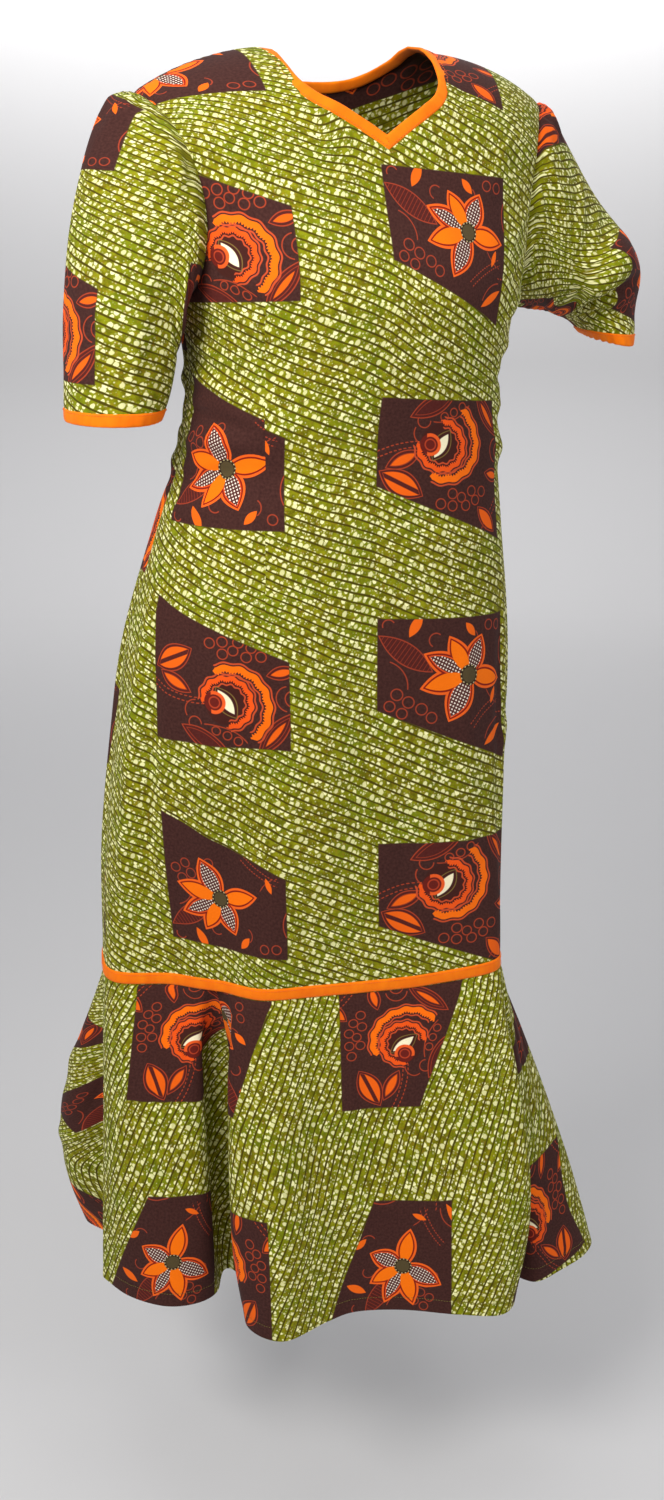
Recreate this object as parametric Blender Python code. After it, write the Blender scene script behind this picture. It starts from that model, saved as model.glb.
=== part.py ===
"""A worn, ankle-length wax print dress: V-neck body, set-in half sleeves and a flared flounce.

The dress keeps the hollow form that it has on a standing figure, with nothing inside it.
Metres, +Z up, front towards -Y. The origin is where the shoulders carry it, midway between
the two ends of the neckline. A drop is a distance below the origin, and an angle goes round
the body from the centre front (0) to the left side seam (90) and the centre back (180).
"""

import math

import bpy
import numpy as np

# Cloth and seams
WALL = 0.0015
SEAM_GAP = 0.0003

# Lengths down from the shoulders
UNDERARM_DROP = 0.208
BAND_DROP = 0.840
HEM_DROP = 1.199

# Neck and shoulders
NECK_HALF_WIDTH = 0.078
SHOULDER_HALF_WIDTH = 0.185
SHOULDER_FALL = 0.037
SHOULDER_ARCH = 0.0075
FRONT_ROLL = 0.072
BACK_ROLL = 0.060

# Orange strips
NECK_BINDING_WIDTH = 0.009
CUFF_BINDING_WIDTH = 0.010
BAND_WIDTH = 0.011

PRINT_COLOUR = (0.16, 0.17, 0.04)
TRIM_COLOUR = (0.85, 0.22, 0.02)

# How finely each piece is drawn
BODY_COLUMNS, ARMHOLE_ROWS, SKIRT_ROWS = 24, 9, 16
SLEEVE_ROWS = 9
FLOUNCE_COLUMNS, FLOUNCE_ROWS = 44, 7

# Level sections of the body. squareness 2 is an ellipse, and more is boxier.
SECTION_COLUMNS = ("drop", "centre_x", "centre_y", "half_width", "front", "back", "turn", "squareness")
SECTIONS = (
    (0.000, 0.000, 0.000, 0.212, 0.088, 0.068, 0.0, 2.2),
    (0.060, 0.000, 0.000, 0.190, 0.096, 0.085, 0.0, 2.3),
    (0.120, 0.000, 0.002, 0.172, 0.115, 0.092, 0.0, 2.4),
    (0.190, 0.000, 0.002, 0.156, 0.138, 0.090, 0.0, 2.4),
    (0.260, -0.002, 0.000, 0.143, 0.130, 0.080, 0.0, 2.3),
    (0.320, -0.006, -0.002, 0.146, 0.118, 0.078, -1.0, 2.3),
    (0.400, -0.014, 0.000, 0.163, 0.116, 0.092, -3.0, 2.3),
    (0.500, -0.022, 0.006, 0.181, 0.116, 0.108, -5.5, 2.4),
    (0.600, -0.027, 0.012, 0.190, 0.112, 0.112, -8.0, 2.5),
    (0.720, -0.033, 0.017, 0.197, 0.102, 0.112, -10.0, 2.8),
    (0.870, -0.036, 0.020, 0.202, 0.090, 0.110, -12.0, 3.1),
)

# Folds of the body cloth: soft ridges (height above 0) and troughs
BODY_FOLD_COLUMNS = ("angle", "drop", "angle_reach", "drop_reach", "height")
BODY_FOLDS = (
    (-14.0, 0.90, 9.0, 0.24, 0.005),
    (-47.0, 0.90, 20.0, 0.26, -0.044),
    (-27.0, 0.90, 9.0, 0.26, -0.009),
    (54.0, 0.92, 11.0, 0.24, 0.010),
    (88.0, 0.92, 20.0, 0.26, -0.010),
    (-62.0, 0.300, 30.0, 0.022, 0.005),
    (-48.0, 0.345, 30.0, 0.020, -0.005),
    (56.0, 0.330, 26.0, 0.022, 0.004),
    (150.0, 0.86, 16.0, 0.22, 0.008),
    (-150.0, 0.86, 16.0, 0.22, 0.008),
    (180.0, 0.84, 14.0, 0.25, -0.006),
)

# Edges of the cut pieces
NECKLINE_COLUMNS = ("right_half", "left_half", "drop")
FRONT_NECKLINE = (
    (0.000, 0.000, 0.0810), (0.022, 0.020, 0.0675), (0.045, 0.040, 0.0545), (0.064, 0.055, 0.0440),
    (0.075, 0.063, 0.0330), (0.080, 0.067, 0.0160), (0.082, 0.069, 0.0000),
)
BACK_NECKLINE = (
    (0.000, 0.000, 0.0280), (0.026, 0.022, 0.0265), (0.048, 0.040, 0.0225), (0.064, 0.053, 0.0165),
    (0.0745, 0.062, 0.0100), (0.0795, 0.067, 0.0050), (0.082, 0.069, 0.0000),
)
ARMHOLE_COLUMNS = ("angle", "drop")
RIGHT_FRONT_ARMHOLE = (
    (64.0, SHOULDER_FALL), (60.0, 0.052), (56.0, 0.080), (54.5, 0.112),
    (58.0, 0.150), (69.0, 0.188), (90.0, UNDERARM_DROP),
)
LEFT_FRONT_ARMHOLE = (
    (64.0, SHOULDER_FALL), (60.5, 0.052), (58.0, 0.080), (58.5, 0.112),
    (63.0, 0.150), (72.5, 0.188), (90.0, UNDERARM_DROP),
)
BACK_ARMHOLE = (
    (64.0, SHOULDER_FALL), (62.0, 0.052), (60.0, 0.080), (60.0, 0.112),
    (63.0, 0.150), (72.0, 0.188), (90.0, UNDERARM_DROP),
)

# Sleeves. The cuff is an ellipse round its centre, with its long way turned by turn degrees.
CUFF_COLUMNS = ("x", "y", "drop", "half_across", "half_deep", "turn", "outer_fall")
RIGHT_CUFF = (-0.211, 0.002, 0.291, 0.043, 0.056, 0.0, 0.0)
LEFT_CUFF = (0.289, 0.032, 0.240, 0.027, 0.068, -20.0, 0.002)
# How far and which way the cloth sets off from the armhole, round from the top (0) by the
# front (90) and the underarm (180), and how it comes down into the cuff
START_COLUMNS = ("angle", "out", "forward", "up")
RIGHT_START = (
    (0.0, 0.155, 0.000, -0.012), (45.0, 0.110, 0.050, -0.025), (90.0, 0.055, 0.072, -0.055),
    (135.0, 0.042, 0.060, -0.078), (180.0, 0.055, 0.000, -0.065), (225.0, 0.042, -0.060, -0.078),
    (270.0, 0.055, -0.068, -0.055), (315.0, 0.110, -0.045, -0.025), (360.0, 0.155, 0.000, -0.012),
)
LEFT_START = (
    (0.0, 0.035, -0.010, -0.020), (45.0, 0.032, 0.010, -0.025), (90.0, 0.045, 0.035, -0.030),
    (135.0, 0.060, 0.030, -0.035), (180.0, 0.070, -0.010, -0.030), (225.0, 0.060, -0.040, -0.035),
    (270.0, 0.060, -0.050, -0.030), (315.0, 0.040, -0.035, -0.020), (360.0, 0.035, -0.010, -0.020),
)
END_COLUMNS = ("out", "forward", "up")
RIGHT_END = ((0.008, 0.000, -0.210), (0.060, 0.000, -0.150))
LEFT_END = ((0.000, 0.000, -0.150), (0.060, -0.006, -0.060))
SLEEVE_FOLD_COLUMNS = ("angle", "along", "angle_reach", "along_reach", "height")
RIGHT_FOLDS = (
    (20.0, 0.10, 60.0, 0.10, 0.005),
    (60.0, 0.40, 26.0, 0.30, 0.004),
    (110.0, 0.62, 24.0, 0.30, -0.005),
    (250.0, 0.55, 26.0, 0.30, 0.004),
    (300.0, 0.60, 24.0, 0.30, -0.004),
)
LEFT_FOLDS = (
    (20.0, 0.10, 60.0, 0.10, 0.004),
    (15.0, 0.70, 75.0, 0.16, 0.018),
    (80.0, 0.86, 50.0, 0.07, -0.010),
    (110.0, 0.25, 24.0, 0.20, -0.005),
    (270.0, 0.55, 40.0, 0.20, 0.007),
    (280.0, 0.80, 40.0, 0.12, -0.005),
)

# The hem of the flounce from the right side seam by the front to the left one, then by the
# back. swell moves the cloth out above the hem, and fall is how far a lobe hangs below it.
HEM_COLUMNS = ("seam_angle", "x", "y", "swell", "fall", "onset")
FRONT_HEM = (
    (-90.0, -0.254, 0.045, 0.000, 0.000, 0.9), (-80.0, -0.236, 0.004, 0.004, 0.000, 0.9),
    (-66.0, -0.206, -0.026, 0.004, 0.000, 0.9), (-50.0, -0.174, -0.034, 0.004, 0.000, 0.8),
    (-38.0, -0.148, -0.024, 0.002, 0.000, 0.8), (-32.0, -0.128, 0.002, 0.000, -0.004, 0.4),
    (-27.0, -0.117, -0.030, 0.000, 0.000, 0.4), (-22.0, -0.136, -0.084, 0.006, 0.002, 0.7),
    (-13.0, -0.110, -0.119, 0.004, 0.003, 0.8), (-3.0, -0.060, -0.111, 0.000, 0.000, 0.9),
    (5.0, -0.026, -0.107, 0.000, 0.000, 0.9), (15.0, 0.020, -0.122, 0.000, 0.000, 0.9),
    (30.0, 0.070, -0.150, 0.004, 0.000, 0.9), (44.0, 0.112, -0.164, 0.010, 0.002, 0.8),
    (55.0, 0.136, -0.148, 0.018, 0.000, 0.8), (60.0, 0.143, -0.114, 0.002, -0.003, 0.6),
    (64.0, 0.168, -0.132, 0.000, 0.000, 0.7), (71.0, 0.204, -0.124, 0.000, 0.000, 0.8),
    (79.0, 0.242, -0.109, 0.002, 0.000, 0.9), (85.0, 0.262, -0.084, 0.004, 0.000, 0.9),
    (90.0, 0.252, -0.040, 0.000, 0.000, 0.9),
)
BACK_HEM = (
    (90.0, 0.252, -0.040, 0.000, 0.000, 0.9), (98.0, 0.216, 0.000, 0.000, -0.003, 0.8),
    (107.0, 0.188, 0.034, 0.000, -0.003, 0.7), (116.0, 0.204, 0.082, 0.004, 0.002, 0.9),
    (124.0, 0.188, 0.124, 0.006, 0.003, 0.9), (134.0, 0.142, 0.130, 0.000, 0.000, 0.8),
    (143.0, 0.112, 0.112, 0.000, -0.003, 0.6), (152.0, 0.088, 0.146, 0.004, 0.000, 0.8),
    (161.0, 0.062, 0.186, 0.006, 0.003, 0.9), (171.0, 0.020, 0.178, 0.000, 0.000, 0.8),
    (180.0, -0.008, 0.140, 0.000, -0.003, 0.6), (188.0, -0.044, 0.156, 0.004, 0.000, 0.8),
    (197.0, -0.074, 0.196, 0.008, 0.002, 0.9), (207.0, -0.116, 0.186, 0.000, 0.000, 0.8),
    (216.0, -0.140, 0.148, 0.000, -0.003, 0.6), (224.0, -0.176, 0.160, 0.010, 0.000, 0.8),
    (234.0, -0.222, 0.182, 0.034, 0.000, 0.9), (243.0, -0.246, 0.152, 0.034, 0.000, 0.9),
    (252.0, -0.228, 0.108, 0.008, -0.003, 0.8), (261.0, -0.232, 0.078, 0.002, 0.000, 0.8),
    (270.0, -0.254, 0.045, 0.000, 0.000, 0.9),
)


def smooth_between(xs, ys, x):
    """A cubic curve through (xs, ys), read at x, with slopes taken from the neighbours."""
    xs, ys = np.asarray(xs, float), np.asarray(ys, float)
    x = np.clip(x, xs[0], xs[-1])
    slope = np.gradient(ys, xs, axis=0)
    i = np.clip(np.searchsorted(xs, x, side="right") - 1, 0, len(xs) - 2)
    step = xs[i + 1] - xs[i]
    t = (x - xs[i]) / step
    if ys.ndim > 1:
        t, step = t[..., None], step[..., None]
    return (
        (2 * t**3 - 3 * t**2 + 1) * ys[i]
        + (t**3 - 2 * t**2 + t) * step * slope[i]
        + (-2 * t**3 + 3 * t**2) * ys[i + 1]
        + (t**3 - t**2) * step * slope[i + 1]
    )


def along(points):
    """The distance along a row of points, from 0 to 1."""
    step = np.linalg.norm(np.diff(points, axis=0), axis=1)
    return np.concatenate([[0.0], np.cumsum(step)]) / step.sum()


def bump(difference, reach):
    """A soft hill, 1 at no difference and near 0 at twice the reach."""
    return np.exp(-((difference / reach) ** 2))


def angle_between(a, b):
    return (a - b + 180.0) % 360.0 - 180.0


def shoulder_line(x):
    """The drop of the line over the shoulder, where front and back meet."""
    share = (np.abs(x) - NECK_HALF_WIDTH) / (SHOULDER_HALF_WIDTH - NECK_HALF_WIDTH)
    arch = np.clip(share, 0, 1) * (1 - np.clip(share, 0, 1))
    return SHOULDER_FALL * share - 4 * SHOULDER_ARCH * arch


def body(angle, drop):
    """The outside of the body at an angle and a drop, without the neck or arm openings."""
    angle, drop = np.broadcast_arrays(np.asarray(angle, float), np.asarray(drop, float))
    rows = np.asarray(SECTIONS)
    section = smooth_between(rows[:, 0], rows[:, 1:], drop)
    centre_x, centre_y, half_width, front, back, turn, squareness = np.moveaxis(section, -1, 0)
    sin, cos = np.sin(np.radians(angle)), np.cos(np.radians(angle))
    reach = (np.abs(sin) ** squareness + np.abs(cos) ** squareness) ** (-1 / squareness)
    across = half_width * sin * reach
    deep = -np.where(cos > 0, front, back) * cos * reach
    # The cloth rolls over the shoulder, where front and back meet on a sloping line
    line = shoulder_line(across)
    below = drop - line
    roll = np.where(cos > 0, FRONT_ROLL, BACK_ROLL)
    share = np.clip(np.abs(below) / roll, 0.0, 1.0)
    deep = deep * np.sign(below) * np.sqrt(1 - (1 - share) ** 2)
    for fold_angle, fold_drop, angle_reach, drop_reach, height in BODY_FOLDS:
        size = bump(angle_between(angle, fold_angle), angle_reach) * bump(drop - fold_drop, drop_reach)
        across = across + height * size * sin
        deep = deep - height * size * cos
    c, s = np.cos(np.radians(turn)), np.sin(np.radians(turn))
    x = centre_x + across * c - deep * s
    y = centre_y + across * s + deep * c
    return np.stack([x, y, -(line + np.abs(below))], -1)


def shoulder_angle(x):
    """The angle whose point lies x from the middle at the top of the body."""
    rows = np.asarray(SECTIONS)
    drop = float(np.maximum(shoulder_line(x), 0.0))
    section = smooth_between(rows[:, 0], rows[:, 1:], np.array([drop]))[0]
    share, n = abs(x) / section[2], section[6]
    tangent = (share**n / (1 - share**n)) ** (1 / n)
    return math.degrees(math.atan(tangent))


def normals_of(grid, wrap):
    """Outward unit normals of a grid of points, rows going down and columns towards +X in front."""
    down = np.gradient(grid, axis=0)
    if wrap:
        across = (np.roll(grid, -1, axis=1) - np.roll(grid, 1, axis=1)) / 2
    else:
        across = np.gradient(grid, axis=1)
    normal = np.cross(down, across)
    return normal / np.maximum(np.linalg.norm(normal, axis=-1, keepdims=True), 1e-12)


def body_normals(angle, drop):
    """Outward unit normals of the body, the same for two pieces that share a seam."""
    across = body(angle + 0.7, drop) - body(angle - 0.7, drop)
    down = body(angle, drop + 0.001) - body(angle, drop - 0.001)
    normal = np.cross(down, across)
    return normal / np.linalg.norm(normal, axis=-1, keepdims=True)


def half_panel(neckline, column, armhole):
    """Angles and drops over half of a body panel, from its middle out to its side."""
    half = BODY_COLUMNS // 2
    neck = half // 2
    table = np.asarray(neckline, float)[:, [column, 2]]
    table[-1, 1] = shoulder_line(table[-1, 0])
    necks = smooth_between(along(table), table, np.linspace(0, 1, neck + 1))
    tip = shoulder_angle(SHOULDER_HALF_WIDTH)
    xs = np.linspace(necks[-1, 0], SHOULDER_HALF_WIDTH, half - neck + 1)[1:]
    top_drop = np.concatenate([necks[:, 1], shoulder_line(xs)])
    top_angle = np.concatenate([np.zeros(neck + 1), [shoulder_angle(x) for x in xs]])
    for i in range(1, neck + 1):
        low, high = 0.0, 89.0
        for _ in range(40):
            middle = (low + high) / 2
            if body(middle, max(top_drop[i], 0.001))[0] < necks[i, 0]:
                low = middle
            else:
                high = middle
        top_angle[i] = low
    for _ in range(8):
        top_drop[neck:] = shoulder_line(body(top_angle[neck:], top_drop[neck:])[:, 0])
    hole = np.asarray(armhole, float)
    hole[0, 0] = tip
    steps = along(np.stack([np.radians(hole[:, 0]) * 0.13, hole[:, 1]], -1))
    upper = smooth_between(steps, hole, np.linspace(0, 1, ARMHOLE_ROWS + 1) ** 1.45)
    lower = np.linspace(0, 1, SKIRT_ROWS + 1)[1:] ** 1.12
    lower = UNDERARM_DROP + (BAND_DROP - UNDERARM_DROP) * lower
    side_drop = np.concatenate([upper[:, 1], lower])
    side_angle = np.concatenate([upper[:, 0], np.full(SKIRT_ROWS, 90.0)])
    fade = ((BAND_DROP - side_drop) / (BAND_DROP - SHOULDER_FALL)) ** 6
    share = np.linspace(0, 1, half + 1)
    angle = fade[:, None] * (top_angle - tip * share) + side_angle[:, None] * share
    drop = side_drop[:, None] + fade[:, None] * (top_drop - SHOULDER_FALL)
    return angle, drop


def panel_grid(neckline, first_armhole, last_armhole, turned):
    """Angles and drops over a whole panel, with the back turned half way round."""
    columns = (0, 1) if turned == 0 else (1, 0)
    first_angle, first_drop = half_panel(neckline, columns[0], first_armhole)
    last_angle, last_drop = half_panel(neckline, columns[1], last_armhole)
    angle = np.concatenate([-first_angle[:, :0:-1], last_angle], axis=1)
    drop = np.concatenate([first_drop[:, :0:-1], last_drop], axis=1)
    return angle + turned, drop


def draw_in(points, amount):
    """Pull the border of a grid of points in by a small amount, so that seams stay apart."""
    out = points.copy()
    for axis in (0, 1):
        p = np.moveaxis(points, axis, 0)
        o = np.moveaxis(out, axis, 0)
        for edge, inner in ((0, 1), (-1, -2)):
            way = p[inner] - p[edge]
            o[edge] += amount * way / np.maximum(np.linalg.norm(way, axis=-1, keepdims=True), 1e-9)
    return out


def material_for(name, colour, roughness):
    material = bpy.data.materials.new(name)
    material.use_nodes = True
    shader = material.node_tree.nodes["Principled BSDF"]
    shader.inputs["Base Color"].default_value = (*colour, 1.0)
    shader.inputs["Roughness"].default_value = roughness
    shader.inputs["Metallic"].default_value = 0.0
    return material


def add_cloth(name, outside, inside, colour, wrap=False):
    """One closed piece of cloth between a grid of outside points and one of inside points."""
    rows, columns = outside.shape[:2]
    points = np.concatenate([outside.reshape(-1, 3), inside.reshape(-1, 3)])
    layer = rows * columns

    def at(i, j, inner):
        return i * columns + j % columns + (layer if inner else 0)

    faces = []
    for i in range(rows - 1):
        for j in range(columns if wrap else columns - 1):
            faces.append((at(i, j, 0), at(i + 1, j, 0), at(i + 1, j + 1, 0), at(i, j + 1, 0)))
            faces.append((at(i, j, 1), at(i, j + 1, 1), at(i + 1, j + 1, 1), at(i + 1, j, 1)))
    for j in range(columns if wrap else columns - 1):
        faces.append((at(0, j, 0), at(0, j + 1, 0), at(0, j + 1, 1), at(0, j, 1)))
        end = rows - 1
        faces.append((at(end, j, 0), at(end, j, 1), at(end, j + 1, 1), at(end, j + 1, 0)))
    if not wrap:
        last = columns - 1
        for i in range(rows - 1):
            faces.append((at(i, 0, 0), at(i, 0, 1), at(i + 1, 0, 1), at(i + 1, 0, 0)))
            faces.append((at(i, last, 0), at(i + 1, last, 0), at(i + 1, last, 1), at(i, last, 1)))
    mesh = bpy.data.meshes.new(name)
    mesh.from_pydata([tuple(p) for p in points], [], faces)
    mesh.validate()
    mesh.polygons.foreach_set("use_smooth", [True] * len(mesh.polygons))
    mesh.materials.append(material_for(name + "_cloth", colour, 0.75))
    thing = bpy.data.objects.new(name, mesh)
    bpy.context.scene.collection.objects.link(thing)
    return thing


def off_edge(edge, inner, normals):
    """Unit steps off the closed edge of a hole, square to the edge and along the panel."""
    tangent = np.roll(edge, -1, axis=0) - np.roll(edge, 1, axis=0)
    off = np.cross(tangent, normals)
    off *= np.sign(((edge - inner) * off).sum(1, keepdims=True))
    return off / np.linalg.norm(off, axis=1, keepdims=True)


def armhole_edge(front, back, sign):
    """The edge of an armhole from the shoulder by the front, and the panel just inside it."""
    front_column, back_column = (-1, 0) if sign > 0 else (0, -1)
    front_inner, back_inner = (-2, 1) if sign > 0 else (1, -2)
    lowest = ARMHOLE_ROWS
    edge = np.concatenate([front[: lowest + 1, front_column], back[lowest - 1 : 0 : -1, back_column]])
    inner = np.concatenate([front[: lowest + 1, front_inner], back[lowest - 1 : 0 : -1, back_inner]])
    return edge, inner


def cuff_loop(cuff, sign, count):
    """The lower edge of a sleeve, from its outer side round by the front."""
    x, y, drop, half_across, half_deep, turn, fall = cuff
    a, t = 2 * np.pi * np.arange(count) / count, math.radians(turn * sign)
    across, deep = sign * half_across * np.cos(a), -half_deep * np.sin(a)
    loop_x = x + across * math.cos(t) - deep * math.sin(t)
    loop_y = y + across * math.sin(t) + deep * math.cos(t)
    return np.stack([loop_x, loop_y, -drop - fall * np.cos(a)], -1)


def sleeve(sign, panels, panel_normals, cuff, start, end, folds):
    """The outside and inside of a sleeve, with its normals, from the armhole to the cuff."""
    edge, inner = armhole_edge(*panels, sign)
    edge_normals, _ = armhole_edge(*panel_normals, sign)
    count = len(edge)
    inner[0] = edge[0] + (edge[2] - edge[0]) / 2 + (edge[-2] - edge[0]) / 2
    inner[ARMHOLE_ROWS] = edge[ARMHOLE_ROWS] - (0.0, 0.0, 0.02)
    first = edge + off_edge(edge, inner, edge_normals) * SEAM_GAP * 2
    last = cuff_loop(cuff, sign, count)
    around = 360.0 * np.arange(count) / count
    table = np.asarray(start, float)
    leave = smooth_between(table[:, 0], table[:, 1:], around) * (sign, -1, 1) + edge_normals * 0.025
    outer_share = (0.5 + 0.5 * np.cos(np.radians(around)))[:, None]
    arrive = np.array(end[0]) * outer_share + np.array(end[1]) * (1 - outer_share)
    arrive = arrive * (sign, -1, 1)
    w = (np.linspace(0, 1, SLEEVE_ROWS + 1) ** 1.1)[:, None, None]
    grid = (2 * w**3 - 3 * w**2 + 1) * first + (w**3 - 2 * w**2 + w) * leave
    grid = grid + (-2 * w**3 + 3 * w**2) * last + (w**3 - w**2) * arrive
    if sign > 0:
        grid, edge_normals, around = grid[:, ::-1], edge_normals[::-1], around[::-1]
    push = np.zeros(grid.shape[:2])
    for fold_angle, fold_along, angle_reach, along_reach, height in folds:
        size = bump(angle_between(around, fold_angle), angle_reach)
        push += height * size * bump(w[:, 0] - fold_along, along_reach)
    push *= np.clip(w[:, 0] * 8, 0, 1) * np.clip((1 - w[:, 0]) * 8, 0, 1)
    grid = grid + normals_of(grid, True) * push[..., None]
    normals = normals_of(grid, True)
    inside = grid - WALL * normals
    inside[0] = grid[0] - WALL * edge_normals
    return grid, inside, normals


def strip(edge, normals, way, width):
    """The outside and inside of a closed strip that carries on from an edge along way."""
    steps = SEAM_GAP + width * np.array([0.0, 0.5, 1.0])
    outside = edge[None] + steps[:, None, None] * way[None]
    return outside, outside - WALL * normals[None]


def neck_edge(front, back):
    """A row round the neck opening, from the right shoulder by the front."""
    quarter = BODY_COLUMNS // 4
    span = slice(quarter, 3 * quarter + 1)
    return np.concatenate([front[span], back[span][1:-1]])


def flounce(table):
    """Half of the flounce, from the band down to the hem, through its folds in turn."""
    rows = np.asarray(table, float)
    fine = smooth_between(np.arange(len(rows)), rows, np.linspace(0, len(rows) - 1, 600))
    share = 0.7 * along(fine[:, 1:3]) + 0.3 * along(fine[:, :1])
    columns = np.linspace(0, 1, FLOUNCE_COLUMNS + 1)
    hem = np.stack([np.interp(columns, share, fine[:, k]) for k in range(6)], -1)
    angle, x, y, swell, fall, onset = hem.T
    top = body(angle, BAND_DROP + BAND_WIDTH + 2 * SEAM_GAP)
    bottom = np.stack([x, y, -HEM_DROP - fall], -1)
    out = np.stack([np.gradient(y), -np.gradient(x), np.zeros(len(x))], -1)
    out /= np.linalg.norm(out, axis=1, keepdims=True)
    w = np.linspace(0, 1, FLOUNCE_ROWS + 1)[:, None]
    spread = (w ** onset[None])[..., None]
    grid = top * (1 - spread) + bottom * spread
    grid[..., 2] = top[:, 2] * (1 - w) + bottom[:, 2] * w
    return grid + (swell * np.sin(np.pi * w**1.35))[..., None] * out


def add_panel(name, outside, inside):
    """A piece of print cloth whose border is drawn in from the seams."""
    return add_cloth(name, draw_in(outside, SEAM_GAP / 2), draw_in(inside, SEAM_GAP / 2), PRINT_COLOUR)


for thing in list(bpy.data.objects):
    bpy.data.objects.remove(thing, do_unlink=True)

# Body, front and back
front_at = panel_grid(FRONT_NECKLINE, RIGHT_FRONT_ARMHOLE, LEFT_FRONT_ARMHOLE, 0.0)
back_at = panel_grid(BACK_NECKLINE, BACK_ARMHOLE, BACK_ARMHOLE, 180.0)
front, front_normals = body(*front_at), body_normals(*front_at)
back, back_normals = body(*back_at), body_normals(*back_at)
add_panel("front_body", front, front - WALL * front_normals)
add_panel("back_body", back, back - WALL * back_normals)

# Sleeves and their bindings
panels, panel_normals = (front, back), (front_normals, back_normals)
right = sleeve(-1, panels, panel_normals, RIGHT_CUFF, RIGHT_START, RIGHT_END, RIGHT_FOLDS)
left = sleeve(1, panels, panel_normals, LEFT_CUFF, LEFT_START, LEFT_END, LEFT_FOLDS)
for side, (outside, inside, normals) in (("right", right), ("left", left)):
    add_cloth("sleeve_" + side, outside, inside, PRINT_COLOUR, wrap=True)
    way = outside[-1] - outside[-2]
    way /= np.linalg.norm(way, axis=1, keepdims=True)
    binding = strip(outside[-1], normals[-1], way, CUFF_BINDING_WIDTH)
    add_cloth("cuff_binding_" + side, *binding, TRIM_COLOUR, wrap=True)

# The neck binding stands on the neckline of both panels, with its columns where theirs are
edge, edge_normals = neck_edge(front[0], back[0]), neck_edge(front_normals[0], back_normals[0])
way = off_edge(edge, neck_edge(front[1], back[1]), edge_normals)
outside, inside = strip(edge, edge_normals, way, NECK_BINDING_WIDTH)
add_cloth("neck_binding", outside[::-1], inside[::-1], TRIM_COLOUR, wrap=True)

# The band goes round between body and flounce, with a column at each one of the body's
band_angle = np.linspace(-90.0, 270.0, 2 * BODY_COLUMNS + 1)[None, :-1]
band_drop = (BAND_DROP + SEAM_GAP + BAND_WIDTH * np.array([0.0, 0.5, 1.0]))[:, None]
outside = body(band_angle, band_drop)
inside = outside - WALL * body_normals(band_angle, band_drop)
add_cloth("seam_band", outside, inside, TRIM_COLOUR, wrap=True)

# The flounce, whose halves meet at the side seams
halves = {"flounce_front": flounce(FRONT_HEM), "flounce_back": flounce(BACK_HEM)}
for name, other in (("flounce_front", "flounce_back"), ("flounce_back", "flounce_front")):
    outside, beyond = halves[name], halves[other]
    wide = np.concatenate([beyond[:, -2:-1], outside, beyond[:, 1:2]], axis=1)
    add_panel(name, outside, outside - WALL * normals_of(wide, False)[:, 1:-1])
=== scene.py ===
# %% [markdown]
# # A wax print dress, worn
#
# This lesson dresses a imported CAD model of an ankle-length cotton dress. The dress has a V neck,
# set-in half sleeves, a fitted body and a flared flounce, all cut from one printed cotton and
# bound in orange. The CAD model holds the real sizes, and every piece made here lies on its
# solid. The frame gives metres, +Z up, front towards -Y, and the origin between the shoulders.

import math
from functools import reduce

import bpy
import numpy as np
from mathutils import Matrix


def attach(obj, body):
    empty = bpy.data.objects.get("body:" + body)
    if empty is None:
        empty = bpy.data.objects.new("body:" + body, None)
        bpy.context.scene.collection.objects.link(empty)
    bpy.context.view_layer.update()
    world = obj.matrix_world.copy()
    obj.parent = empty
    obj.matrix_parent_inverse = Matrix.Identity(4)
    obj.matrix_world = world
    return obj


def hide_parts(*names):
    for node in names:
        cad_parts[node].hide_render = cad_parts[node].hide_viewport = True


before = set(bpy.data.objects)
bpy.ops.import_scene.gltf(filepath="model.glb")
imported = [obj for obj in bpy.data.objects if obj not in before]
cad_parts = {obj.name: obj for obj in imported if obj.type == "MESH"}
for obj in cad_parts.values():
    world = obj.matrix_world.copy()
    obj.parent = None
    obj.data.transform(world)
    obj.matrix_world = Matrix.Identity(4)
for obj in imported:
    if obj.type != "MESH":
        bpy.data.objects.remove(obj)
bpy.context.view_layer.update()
print("CAD nodes:", sorted(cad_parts))

# %% [markdown]
# ## The cut of the dress
#
# A garment is a set of flat pieces with sizes, so its shape can be written as short tables. The
# body is a stack of level sections, and a fold is a soft ridge or trough at a place on them. These
# are the values that the CAD model was built from, in metres and degrees. A drop is a distance
# below the origin. An angle goes round the body from the centre front (0) to the wearer's left
# side seam (90) and the centre back (180).

# %% Lengths and widths
SEAM_GAP = 0.0003
UNDERARM_DROP = 0.208
BAND_DROP = 0.840
HEM_DROP = 1.199
NECK_HALF_WIDTH = 0.078
SHOULDER_HALF_WIDTH = 0.185
SHOULDER_FALL = 0.037
SHOULDER_ARCH = 0.0075
FRONT_ROLL = 0.072
BACK_ROLL = 0.060
NECK_BINDING_WIDTH = 0.009
CUFF_BINDING_WIDTH = 0.010
BAND_WIDTH = 0.011
FLOOR_DROP = 1.48

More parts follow.
